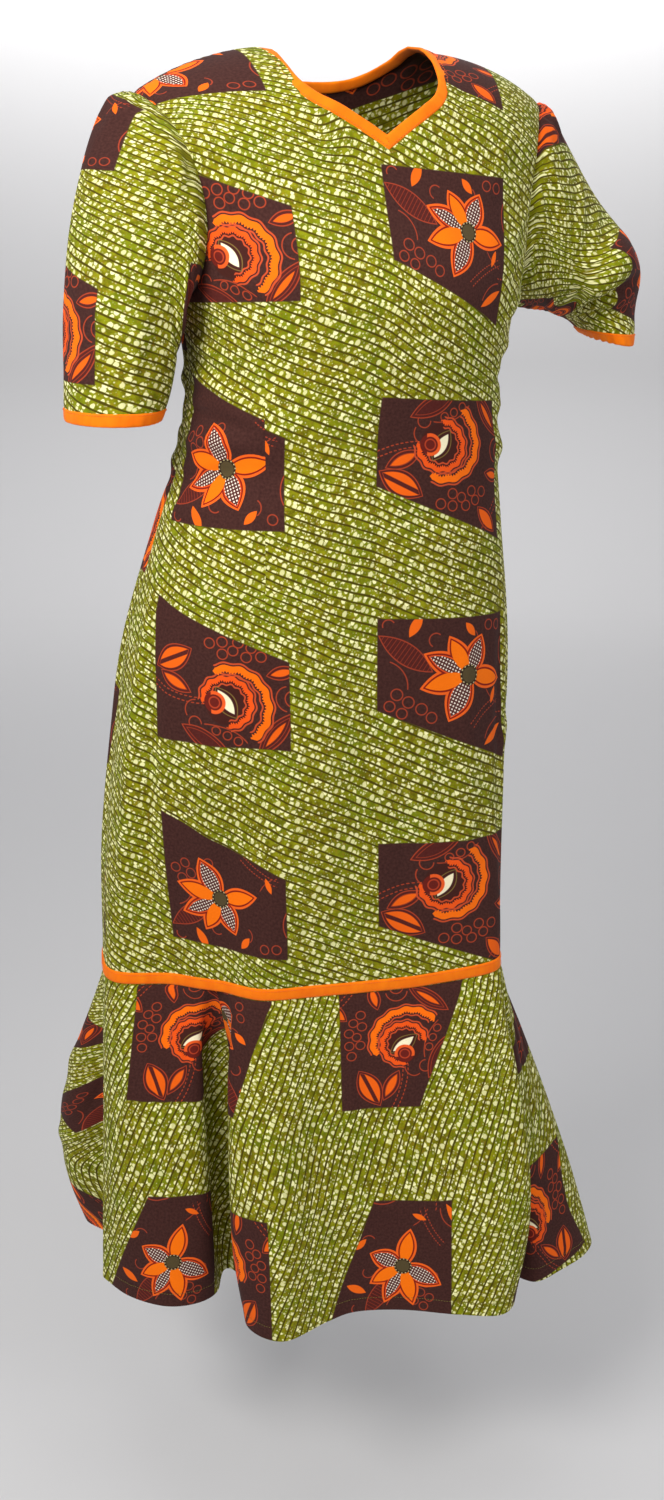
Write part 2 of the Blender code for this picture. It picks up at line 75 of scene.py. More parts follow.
# %% The body's sections and folds
# drop, centre_x, centre_y, half_width, front, back, turn, squareness
SECTIONS = np.array((
    (0.000, 0.000, 0.000, 0.212, 0.088, 0.068, 0.0, 2.2),
    (0.060, 0.000, 0.000, 0.190, 0.096, 0.085, 0.0, 2.3),
    (0.120, 0.000, 0.002, 0.172, 0.115, 0.092, 0.0, 2.4),
    (0.190, 0.000, 0.002, 0.156, 0.138, 0.090, 0.0, 2.4),
    (0.260, -0.002, 0.000, 0.143, 0.130, 0.080, 0.0, 2.3),
    (0.320, -0.006, -0.002, 0.146, 0.118, 0.078, -1.0, 2.3),
    (0.400, -0.014, 0.000, 0.163, 0.116, 0.092, -3.0, 2.3),
    (0.500, -0.022, 0.006, 0.181, 0.116, 0.108, -5.5, 2.4),
    (0.600, -0.027, 0.012, 0.190, 0.112, 0.112, -8.0, 2.5),
    (0.720, -0.033, 0.017, 0.197, 0.102, 0.112, -10.0, 2.8),
    (0.870, -0.036, 0.020, 0.202, 0.090, 0.110, -12.0, 3.1),
))
# angle, drop, angle_reach, drop_reach, height
BODY_FOLDS = (
    (-14.0, 0.90, 9.0, 0.24, 0.005), (-47.0, 0.90, 20.0, 0.26, -0.044),
    (-27.0, 0.90, 9.0, 0.26, -0.009), (54.0, 0.92, 11.0, 0.24, 0.010),
    (88.0, 0.92, 20.0, 0.26, -0.010), (-62.0, 0.300, 30.0, 0.022, 0.005),
    (-48.0, 0.345, 30.0, 0.020, -0.005), (56.0, 0.330, 26.0, 0.022, 0.004),
    (150.0, 0.86, 16.0, 0.22, 0.008), (-150.0, 0.86, 16.0, 0.22, 0.008),
    (180.0, 0.84, 14.0, 0.25, -0.006),
)

# %% The edges of the body's pieces
# right_half, left_half, drop
FRONT_NECKLINE = (
    (0.000, 0.000, 0.0810), (0.022, 0.020, 0.0675), (0.045, 0.040, 0.0545), (0.064, 0.055, 0.0440),
    (0.075, 0.063, 0.0330), (0.080, 0.067, 0.0160), (0.082, 0.069, 0.0000),
)
BACK_NECKLINE = (
    (0.000, 0.000, 0.0280), (0.026, 0.022, 0.0265), (0.048, 0.040, 0.0225), (0.064, 0.053, 0.0165),
    (0.0745, 0.062, 0.0100), (0.0795, 0.067, 0.0050), (0.082, 0.069, 0.0000),
)
# angle, drop
RIGHT_FRONT_ARMHOLE = (
    (64.0, SHOULDER_FALL), (60.0, 0.052), (56.0, 0.080), (54.5, 0.112),
    (58.0, 0.150), (69.0, 0.188), (90.0, UNDERARM_DROP),
)
LEFT_FRONT_ARMHOLE = (
    (64.0, SHOULDER_FALL), (60.5, 0.052), (58.0, 0.080), (58.5, 0.112),
    (63.0, 0.150), (72.5, 0.188), (90.0, UNDERARM_DROP),
)
BACK_ARMHOLE = (
    (64.0, SHOULDER_FALL), (62.0, 0.052), (60.0, 0.080), (60.0, 0.112),
    (63.0, 0.150), (72.0, 0.188), (90.0, UNDERARM_DROP),
)

# %% The sleeves
# x, y, drop, half_across, half_deep, turn, outer_fall
RIGHT_CUFF = (-0.211, 0.002, 0.291, 0.043, 0.056, 0.0, 0.0)
LEFT_CUFF = (0.289, 0.032, 0.240, 0.027, 0.068, -20.0, 0.002)
# How the cloth leaves the armhole: angle, out, forward, up
RIGHT_START = (
    (0.0, 0.155, 0.000, -0.012), (45.0, 0.110, 0.050, -0.025), (90.0, 0.055, 0.072, -0.055),
    (135.0, 0.042, 0.060, -0.078), (180.0, 0.055, 0.000, -0.065), (225.0, 0.042, -0.060, -0.078),
    (270.0, 0.055, -0.068, -0.055), (315.0, 0.110, -0.045, -0.025), (360.0, 0.155, 0.000, -0.012),
)
LEFT_START = (
    (0.0, 0.035, -0.010, -0.020), (45.0, 0.032, 0.010, -0.025), (90.0, 0.045, 0.035, -0.030),
    (135.0, 0.060, 0.030, -0.035), (180.0, 0.070, -0.010, -0.030), (225.0, 0.060, -0.040, -0.035),
    (270.0, 0.060, -0.050, -0.030), (315.0, 0.040, -0.035, -0.020), (360.0, 0.035, -0.010, -0.020),
)
# How it comes down into the cuff, outer side and underside: out, forward, up
RIGHT_END = ((0.008, 0.000, -0.210), (0.060, 0.000, -0.150))
LEFT_END = ((0.000, 0.000, -0.150), (0.060, -0.006, -0.060))
# angle, along, angle_reach, along_reach, height
RIGHT_FOLDS = (
    (20.0, 0.10, 60.0, 0.10, 0.005), (60.0, 0.40, 26.0, 0.30, 0.004),
    (110.0, 0.62, 24.0, 0.30, -0.005), (250.0, 0.55, 26.0, 0.30, 0.004),
    (300.0, 0.60, 24.0, 0.30, -0.004),
)
LEFT_FOLDS = (
    (20.0, 0.10, 60.0, 0.10, 0.004), (15.0, 0.70, 75.0, 0.16, 0.018),
    (80.0, 0.86, 50.0, 0.07, -0.010), (110.0, 0.25, 24.0, 0.20, -0.005),
    (270.0, 0.55, 40.0, 0.20, 0.007), (280.0, 0.80, 40.0, 0.12, -0.005),
)

# %% The flounce's hem
# seam_angle, x, y, swell, fall, onset
FRONT_HEM = np.array((
    (-90.0, -0.254, 0.045, 0.000, 0.000, 0.9), (-80.0, -0.236, 0.004, 0.004, 0.000, 0.9),
    (-66.0, -0.206, -0.026, 0.004, 0.000, 0.9), (-50.0, -0.174, -0.034, 0.004, 0.000, 0.8),
    (-38.0, -0.148, -0.024, 0.002, 0.000, 0.8), (-32.0, -0.128, 0.002, 0.000, -0.004, 0.4),
    (-27.0, -0.117, -0.030, 0.000, 0.000, 0.4), (-22.0, -0.136, -0.084, 0.006, 0.002, 0.7),
    (-13.0, -0.110, -0.119, 0.004, 0.003, 0.8), (-3.0, -0.060, -0.111, 0.000, 0.000, 0.9),
    (5.0, -0.026, -0.107, 0.000, 0.000, 0.9), (15.0, 0.020, -0.122, 0.000, 0.000, 0.9),
    (30.0, 0.070, -0.150, 0.004, 0.000, 0.9), (44.0, 0.112, -0.164, 0.010, 0.002, 0.8),
    (55.0, 0.136, -0.148, 0.018, 0.000, 0.8), (60.0, 0.143, -0.114, 0.002, -0.003, 0.6),
    (64.0, 0.168, -0.132, 0.000, 0.000, 0.7), (71.0, 0.204, -0.124, 0.000, 0.000, 0.8),
    (79.0, 0.242, -0.109, 0.002, 0.000, 0.9), (85.0, 0.262, -0.084, 0.004, 0.000, 0.9),
    (90.0, 0.252, -0.040, 0.000, 0.000, 0.9),
))
BACK_HEM = np.array((
    (90.0, 0.252, -0.040, 0.000, 0.000, 0.9), (98.0, 0.216, 0.000, 0.000, -0.003, 0.8),
    (107.0, 0.188, 0.034, 0.000, -0.003, 0.7), (116.0, 0.204, 0.082, 0.004, 0.002, 0.9),
    (124.0, 0.188, 0.124, 0.006, 0.003, 0.9), (134.0, 0.142, 0.130, 0.000, 0.000, 0.8),
    (143.0, 0.112, 0.112, 0.000, -0.003, 0.6), (152.0, 0.088, 0.146, 0.004, 0.000, 0.8),
    (161.0, 0.062, 0.186, 0.006, 0.003, 0.9), (171.0, 0.020, 0.178, 0.000, 0.000, 0.8),
    (180.0, -0.008, 0.140, 0.000, -0.003, 0.6), (188.0, -0.044, 0.156, 0.004, 0.000, 0.8),
    (197.0, -0.074, 0.196, 0.008, 0.002, 0.9), (207.0, -0.116, 0.186, 0.000, 0.000, 0.8),
    (216.0, -0.140, 0.148, 0.000, -0.003, 0.6), (224.0, -0.176, 0.160, 0.010, 0.000, 0.8),
    (234.0, -0.222, 0.182, 0.034, 0.000, 0.9), (243.0, -0.246, 0.152, 0.034, 0.000, 0.9),
    (252.0, -0.228, 0.108, 0.008, -0.003, 0.8), (261.0, -0.232, 0.078, 0.002, 0.000, 0.8),
    (270.0, -0.254, 0.045, 0.000, 0.000, 0.9),
))

# %% [markdown]
# ## Curves and the body's form
#
# The tables hold few rows, so a smooth curve has to run between them. A cubic with slopes taken
# from the neighbours passes through each row and never overshoots much, so it suits sizes that
# were measured. The whole body is then one function of an angle and a drop, and any piece, seam or
# crease can ask it where it lies.

# %% Small curve helpers
def hermite(t, first, last, leave, arrive, step=1.0):
    """A cubic from first to last over a step, with a slope at each end, at t from 0 to 1."""
    return (
        (2 * t**3 - 3 * t**2 + 1) * first + (t**3 - 2 * t**2 + t) * step * leave
        + (-2 * t**3 + 3 * t**2) * last + (t**3 - t**2) * step * arrive
    )


def smooth_between(xs, ys, x):
    xs, ys = np.asarray(xs, float), np.asarray(ys, float)
    x = np.clip(x, xs[0], xs[-1])
    slope = np.gradient(ys, xs, axis=0)
    i = np.clip(np.searchsorted(xs, x, side="right") - 1, 0, len(xs) - 2)
    step = xs[i + 1] - xs[i]
    t = (x - xs[i]) / step
    if ys.ndim > 1:
        t, step = t[..., None], step[..., None]
    return hermite(t, ys[i], ys[i + 1], slope[i], slope[i + 1], step)


def travelled(points):
    """The length along a row of points, from 0 at the first."""
    return np.concatenate([[0.0], np.cumsum(np.linalg.norm(np.diff(points, axis=0), axis=1))])


def along(points):
    travel = travelled(points)
    return travel / travel[-1]


def read_table(x, xs, table):
    """Every column of a table at the places x, on straight lines between its rows."""
    return np.stack([np.interp(x, xs, table[:, k]) for k in range(table.shape[1])], -1)


def hill(difference, reach):
    return np.exp(-((difference / reach) ** 2))


def ramp(x, low, high):
    t = np.clip((x - low) / (high - low), 0, 1)
    return t * t * (3 - 2 * t)


def angle_between(a, b):
    return (a - b + 180.0) % 360.0 - 180.0


def unit(vectors):
    return vectors / np.maximum(np.linalg.norm(vectors, axis=-1, keepdims=True), 1e-12)


# %% The body at an angle and a drop
def shoulder_line(x):
    share = (np.abs(x) - NECK_HALF_WIDTH) / (SHOULDER_HALF_WIDTH - NECK_HALF_WIDTH)
    inner = np.clip(share, 0, 1)
    return SHOULDER_FALL * share - 4 * SHOULDER_ARCH * inner * (1 - inner)


def body(angle, drop):
    angle, drop = np.broadcast_arrays(np.asarray(angle, float), np.asarray(drop, float))
    section = smooth_between(SECTIONS[:, 0], SECTIONS[:, 1:], drop)
    centre_x, centre_y, half_width, front, back, turn, squareness = np.moveaxis(section, -1, 0)
    sin, cos = np.sin(np.radians(angle)), np.cos(np.radians(angle))
    reach = (np.abs(sin) ** squareness + np.abs(cos) ** squareness) ** (-1 / squareness)
    across = half_width * sin * reach
    deep = -np.where(cos > 0, front, back) * cos * reach
    line = shoulder_line(across)
    below = drop - line
    share = np.clip(np.abs(below) / np.where(cos > 0, FRONT_ROLL, BACK_ROLL), 0.0, 1.0)
    deep = deep * np.sign(below) * np.sqrt(1 - (1 - share) ** 2)
    for fold_angle, fold_drop, angle_reach, drop_reach, height in BODY_FOLDS:
        size = hill(angle_between(angle, fold_angle), angle_reach)
        size = size * hill(drop - fold_drop, drop_reach)
        across = across + height * size * sin
        deep = deep - height * size * cos
    c, s = np.cos(np.radians(turn)), np.sin(np.radians(turn))
    x, y = centre_x + across * c - deep * s, centre_y + across * s + deep * c
    return np.stack([x, y, -(line + np.abs(below))], -1)


def body_normals(angle, drop):
    across = body(angle + 0.7, drop) - body(angle - 0.7, drop)
    down = body(angle, drop + 0.001) - body(angle, drop - 0.001)
    return unit(np.cross(down, across))


def normals_of(grid, wrap):
    down = np.gradient(grid, axis=0)
    if wrap:
        across = (np.roll(grid, -1, 1) - np.roll(grid, 1, 1)) / 2
    else:
        across = np.gradient(grid, axis=1)
    return unit(np.cross(down, across))


print("waist, front and back:", body([0.0, 180.0], 0.30).round(3).tolist())

# %% [markdown]
# ## Panels as grids
#
# A body panel is laid out as a grid of angles and drops. Its upper edge follows the neckline and
# the shoulder, its sides follow the armholes and then the side seams, and its lower edge is level
# at the band. A fine grid leaves room for creases that the CAD solid is too coarse to hold.

# %% Mesh density and wall
BODY_COLUMNS = 144
ARMHOLE_ROWS = 72
SKIRT_ROWS = 168
SLEEVE_ROWS = 80
FLOUNCE_COLUMNS = 288
FLOUNCE_ROWS = 96
WALL = 0.0012
# Rows stand closer at the top of an armhole, and a little closer at the top of the skirt
ARMHOLE_CROWDING, SKIRT_CROWDING = 1.45, 1.04
TOP_EDGE_FADE = 6
BODY_RADIUS = 0.13
HALVINGS, SETTLINGS = 40, 8


# %% Panel layout
def shoulder_angle(x):
    drop = float(np.maximum(shoulder_line(x), 0.0))
    section = smooth_between(SECTIONS[:, 0], SECTIONS[:, 1:], np.array([drop]))[0]
    share, n = abs(x) / section[2], section[6]
    return math.degrees(math.atan((share**n / (1 - share**n)) ** (1 / n)))


def half_panel(neckline, column, armhole):
    """Angles and drops of half a body panel, from its middle line to its armhole and side."""
    half = BODY_COLUMNS // 2
    neck = half // 2
    edge = np.asarray(neckline, float)[:, [column, 2]]
    edge[-1, 1] = shoulder_line(edge[-1, 0])
    necks = smooth_between(along(edge), edge, np.linspace(0, 1, neck + 1))
    tip = shoulder_angle(SHOULDER_HALF_WIDTH)
    xs = np.linspace(necks[-1, 0], SHOULDER_HALF_WIDTH, half - neck + 1)[1:]
    top_drop = np.concatenate([necks[:, 1], shoulder_line(xs)])
    top_angle = np.concatenate([np.zeros(neck + 1), [shoulder_angle(x) for x in xs]])
    low, high = np.zeros(neck), np.full(neck, 89.0)
    for _ in range(HALVINGS):
        middle = (low + high) / 2
        short = body(middle, np.maximum(top_drop[1 : neck + 1], 0.001))[:, 0] < necks[1:, 0]
        low, high = np.where(short, middle, low), np.where(short, high, middle)
    top_angle[1 : neck + 1] = low
    for _ in range(SETTLINGS):
        top_drop[neck:] = shoulder_line(body(top_angle[neck:], top_drop[neck:])[:, 0])
    hole = np.asarray(armhole, float)
    hole[0, 0] = tip
    steps = along(np.stack([np.radians(hole[:, 0]) * BODY_RADIUS, hole[:, 1]], -1))
    upper = smooth_between(steps, hole, np.linspace(0, 1, ARMHOLE_ROWS + 1) ** ARMHOLE_CROWDING)
    lower = np.linspace(0, 1, SKIRT_ROWS + 1)[1:] ** SKIRT_CROWDING
    lower = UNDERARM_DROP + (BAND_DROP - UNDERARM_DROP) * lower
    side_drop = np.concatenate([upper[:, 1], lower])
    side_angle = np.concatenate([upper[:, 0], np.full(SKIRT_ROWS, 90.0)])
    fade = ((BAND_DROP - side_drop) / (BAND_DROP - SHOULDER_FALL)) ** TOP_EDGE_FADE
    share = np.linspace(0, 1, half + 1)
    angle = fade[:, None] * (top_angle - tip * share) + side_angle[:, None] * share
    return angle, side_drop[:, None] + fade[:, None] * (top_drop - SHOULDER_FALL)


def panel_grid(neckline, first_armhole, last_armhole, turned):
    """Both halves of a panel as one grid. turned is 0 for the front and 180 for the back."""
    columns = (0, 1) if turned == 0 else (1, 0)
    first_angle, first_drop = half_panel(neckline, columns[0], first_armhole)
    last_angle, last_drop = half_panel(neckline, columns[1], last_armhole)
    angle = np.concatenate([-first_angle[:, :0:-1], last_angle], axis=1)
    return angle + turned, np.concatenate([first_drop[:, :0:-1], last_drop], axis=1)


front_angle, front_drop = panel_grid(FRONT_NECKLINE, RIGHT_FRONT_ARMHOLE, LEFT_FRONT_ARMHOLE, 0.0)
back_angle, back_drop = panel_grid(BACK_NECKLINE, BACK_ARMHOLE, BACK_ARMHOLE, 180.0)
print("front panel grid:", front_angle.shape, "back panel grid:", back_angle.shape)

# %% [markdown]
# ## Darts
#
# A fitted dress without a waist seam takes its shape from long darts, pointed at both ends. The
# dart on the front shows as a thin line from the bust to the hip, and the print doesn't meet
# across it, because a lens of cloth is folded away behind. The grid is bent so that one of its
# columns lies along each dart, and the amount folded away is kept to shift the print later.

# %% Dart lines
# drop, angle
RIGHT_DART = np.array((
    (0.190, -42.0), (0.213, -43.5), (0.238, -44.8), (0.262, -45.0), (0.286, -43.5), (0.311, -41.5),
    (0.337, -39.8), (0.362, -36.8), (0.387, -33.8), (0.413, -31.2), (0.439, -29.0), (0.466, -27.0),
))
LEFT_DART = np.array((
    (0.190, -8.2), (0.238, -8.0), (0.287, -5.2), (0.338, -1.2), (0.390, 2.0), (0.443, 5.0),
))
BACK_DARTS = (
    np.array(((0.200, 146.0), (0.300, 148.0), (0.440, 151.0))),
    np.array(((0.200, 214.0), (0.300, 212.0), (0.440, 209.0))),
)


def bend_to_dart(angle, drop, dart, reach=20):
    """Bend the grid's angles so that one column follows the dart. Returns that column."""
    top, tip = dart[0, 0], dart[-1, 0]
    middle = drop[:, drop.shape[1] // 2]
    rows = (middle > top) & (middle < tip)
    column = int(np.argmin(np.abs(angle[rows].mean(0) - dart[:, 1].mean())))
    level = drop[:, column]
    shift = smooth_between(dart[:, 0], dart[:, 1], level) - angle[:, column]
    shift *= ramp(level, top - 0.06, top) * ramp(-level, -tip - 0.09, -tip)
    near = ramp(1 - np.abs(np.arange(angle.shape[1]) - column) / reach, 0, 1)
    return angle + shift[:, None] * near[None], column


def dart_pull(drop, dart):
    """How much of the dart is folded away at each drop, from 0 to 1."""
    share = (drop - dart[0, 0]) / (dart[-1, 0] - dart[0, 0])
    return np.where((share > 0) & (share < 1), np.sin(np.pi * np.clip(share, 0, 1) ** 0.8), 0.0)


front_angle, right_dart_column = bend_to_dart(front_angle, front_drop, RIGHT_DART, 18)
front_angle, left_dart_column = bend_to_dart(front_angle, front_drop, LEFT_DART, 12)
back_dart_columns = []
for dart in BACK_DARTS:
    back_angle, column = bend_to_dart(back_angle, back_drop, dart)
    back_dart_columns.append(column)
print("dart columns:", right_dart_column, left_dart_column, back_dart_columns)

# %% [markdown]
# ## Creases and seams as height on the cloth
#
# Worn cotton is never smooth. It drags from the arm to the bust, stacks in short level folds at
# the waist and hangs in long shallow flutes over the hips. Each one is placed as a bowed stroke
# with its own length, width and height, and fades at both ends. Along a seam the cloth dips to the
# stitching and puckers a little, and this makes a sewn edge read as sewn.

# %% Strokes of height
CREASE_END = (-0.12, 0.35)


def strokes(across, down, table):
    """Soft ridges with a trough beside each, or the other way where the height is negative."""
    total = np.zeros(across.shape)
    for a0, d0, a1, d1, width, height, bow in table:
        step_a, step_d = a1 - a0, d1 - d0
        length = math.hypot(step_a, step_d)
        t = ((across - a0) * step_a + (down - d0) * step_d) / length**2
        side = ((across - a0) * step_d - (down - d0) * step_a) / length - bow * 4 * t * (1 - t)
        ends = ramp(t, *CREASE_END) * ramp(1 - t, *CREASE_END)
        reach = width * (0.55 + 0.45 * ends)
        crest = hill(side, reach) - 0.45 * hill(side - 1.9 * reach, reach * 1.3)
        total += height * crest * ends
    return total


def in_metres(creases, across, down=1.0, start=0.0):
    """A table of strokes with its angles times across, from the start, and its drops times down."""
    return [
        ((a0 - start) * across, d0 * down, (a1 - start) * across, d1 * down, *rest)
        for a0, d0, a1, d1, *rest in creases
    ]


def grid_lengths(points):
    """Distances along the columns and along the rows of a grid of points."""
    down = np.linalg.norm(np.diff(points, axis=0), axis=2)
    across = np.linalg.norm(np.diff(points, axis=1), axis=2)
    down = np.concatenate([np.zeros((1, points.shape[1])), np.cumsum(down, 0)])
    across = np.concatenate([np.zeros((points.shape[0], 1)), np.cumsum(across, 1)], axis=1)
    return down, across


def seam_dip(distance, travel, depth=0.0011, pucker=0.00035, reach=0.0035):
    """The dip beside a seam, with a pucker that runs along it."""
    ripple = np.sin(travel * 610.0 + 1.7 * np.sin(travel * 93.0))
    ripple = ripple * (0.6 + 0.4 * np.sin(travel * 37.0))
    beside = hill(distance - 0.005, 0.005) * ramp(distance, 0, 0.003)
    return -depth * hill(distance, reach) + pucker * ripple * beside


# %% The creases of the body
# metres round the body for each degree
ANGLE_LENGTH = 0.0029
# angle, drop, angle, drop, width, height, bow
FRONT_CREASES = (
    (-88, .262, -50, .282, .0075, .0034, .004), (-89, .292, -46, .304, .0060, -.0030, .003),
    (-88, .322, -44, .318, .0080, .0036, .004), (-86, .352, -50, .338, .0060, -.0026, -.002),
    (-89, .384, -47, .362, .0090, .0026, -.004), (-84, .232, -62, .252, .0060, .0024, .002),
    (-60, .150, -44, .196, .0080, .0020, .004), (-54, .120, -36, .150, .0070, -.0014, .003),
    (-58, .205, -38, .226, .0070, .0018, -.003), (-50, .060, -38, .110, .0090, .0016, .003),
    (57, .120, 40, .165, .0070, .0020, -.003), (60, .160, 42, .196, .0060, -.0018, -.002),
    (68, .196, 44, .222, .0070, .0026, -.003), (84, .228, 50, .246, .0070, .0028, .003),
    (86, .262, 46, .272, .0060, -.0024, .003), (88, .300, 52, .296, .0080, .0028, -.002),
    (86, .340, 50, .326, .0080, .0022, .003), (40, .070, 30, .120, .0090, .0014, -.003),
    (-14, .112, -24, .170, .0110, .0012, .003), (12, .118, 22, .180, .0110, .0012, -.003),
    (-72, .430, -68, .800, .0130, .0042, .006), (-60, .500, -52, .830, .0100, -.0030, -.004),
    (-38, .480, -34, .760, .0140, .0022, .005), (-20, .520, -18, .820, .0120, -.0020, .004),
    (-2, .500, 2, .790, .0160, .0022, -.005), (20, .560, 22, .830, .0110, -.0018, .003),
    (36, .470, 40, .800, .0140, .0028, .005), (56, .450, 60, .780, .0100, -.0028, -.004),
    (72, .420, 76, .810, .0120, .0034, .005), (-44, .560, -8, .548, .0120, .0012, -.006),
    (10, .402, 48, .412, .0110, .0014, .004), (-26, .640, 14, .655, .0140, .0010, .006),
    (50, .620, 84, .606, .0100, .0016, .003), (-84, .600, -58, .622, .0100, .0018, -.003),
)
BACK_CREASES = (
    (94, .262, 136, .282, .0080, .0036, .004), (93, .300, 140, .306, .0065, -.0030, .003),
    (94, .330, 132, .326, .0080, .0032, -.003), (268, .268, 226, .284, .0080, .0034, -.004),
    (268, .304, 222, .310, .0070, -.0030, -.003), (266, .340, 228, .334, .0085, .0030, .003),
    (150, .292, 208, .296, .0090, .0028, -.006), (158, .322, 214, .316, .0070, -.0020, .005),
    (146, .352, 200, .350, .0110, .0022, .005), (118, .120, 140, .190, .0100, .0024, .005),
    (242, .120, 220, .190, .0100, .0024, -.005), (160, .060, 172, .150, .0120, .0014, .004),
    (200, .060, 188, .150, .0120, .0014, -.004), (108, .440, 112, .810, .0120, .0040, .005),
    (126, .480, 124, .790, .0100, -.0028, -.005), (146, .470, 150, .820, .0150, .0030, .006),
    (168, .520, 166, .800, .0120, -.0026, .005), (186, .480, 190, .830, .0150, .0026, -.006),
    (206, .520, 204, .800, .0110, -.0026, .004), (224, .460, 222, .820, .0140, .0032, .006),
    (242, .500, 244, .780, .0100, -.0026, -.004), (258, .430, 256, .820, .0130, .0036, .005),
    (130, .560, 190, .570, .0140, .0012, .006), (170, .660, 230, .650, .0140, .0012, -.005),
)


# %% A creased panel
def crease_body(angle, drop, creases, darts, middle):
    """The outside of a body panel with its creases, darts and seams, and its inside."""
    smooth = body(angle, drop)
    normal = body_normals(angle, drop)
    table = in_metres(creases, ANGLE_LENGTH, start=middle)
    rise = strokes(angle_between(angle, middle) * ANGLE_LENGTH, drop, table)
    down, across = grid_lengths(smooth)
    first, last = across, across[:, -1:] - across
    top, bottom = down, down[-1:] - down
    edge = np.minimum(np.minimum(first, last), np.minimum(top, bottom))
    rise *= ramp(edge, 0.0, 0.012)
    rise += seam_dip(first, down) + seam_dip(last, down + 0.3)
    rise += seam_dip(top, across) + seam_dip(bottom, across + 0.7, 0.0006)
    for dart, column in darts:
        pull = np.clip(dart_pull(drop, dart) * 2.5, 0, 1)
        from_dart = np.abs(across - across[:, column : column + 1])
        rise += pull * seam_dip(from_dart, down, 0.0012, 0.0005, 0.002)
    outside = smooth + rise[..., None] * normal
    return outside, outside - WALL * normal, normal


front_darts = ((RIGHT_DART, right_dart_column), (LEFT_DART, left_dart_column))
back_darts = tuple(zip(BACK_DARTS, back_dart_columns))
front, front_inside, front_normals = crease_body(
    front_angle, front_drop, FRONT_CREASES, front_darts, 0.0
)
back, back_inside, back_normals = crease_body(
    back_angle, back_drop, BACK_CREASES, back_darts, 180.0
)
print("front panel with creases:", front.shape, "back:", back.shape)

# %% [markdown]
# ## Sleeves
#
# Each sleeve is a tube that starts on the armhole and ends at a cuff. A real sleeve leaves the
# shoulder in its own direction and drops into the cuff in another, so every column is a curve with
# a direction at both ends. The wearer's left arm is on the hip, and its sleeve folds over on
# itself; the other arm hangs.

# %% Sleeve form
# the length of a sleeve's creases, metres for each degree round it, and its whole way round
SLEEVE_LENGTH, SLEEVE_ANGLE_LENGTH, SLEEVE_LAP = 0.23, 0.001, 0.36


def off_edge(edge, inner, normals):
    """The direction in the cloth that leads away from an edge and from its inner points."""
    tangent = np.roll(edge, -1, axis=0) - np.roll(edge, 1, axis=0)
    off = np.cross(tangent, normals)
    return unit(off * np.sign(((edge - inner) * off).sum(1, keepdims=True)))


def armhole_edge(first, second, sign):
    """The loop of an armhole over both panels, and the points next to it inside them."""
    first_column, second_column = (-1, 0) if sign > 0 else (0, -1)
    first_inner, second_inner = (-2, 1) if sign > 0 else (1, -2)
    low = ARMHOLE_ROWS
    return tuple(
        np.concatenate([first[: low + 1, one], second[low - 1 : 0 : -1, other]])
        for one, other in ((first_column, second_column), (first_inner, second_inner))
    )


def cuff_loop(cuff, sign, count):
    x, y, drop, half_across, half_deep, turn, fall = cuff
    a, t = 2 * np.pi * np.arange(count) / count, math.radians(turn * sign)
    across, deep = sign * half_across * np.cos(a), -half_deep * np.sin(a)
    loop_x = x + across * math.cos(t) - deep * math.sin(t)
    loop_y = y + across * math.sin(t) + deep * math.cos(t)
    return np.stack([loop_x, loop_y, -drop - fall * np.cos(a)], -1)


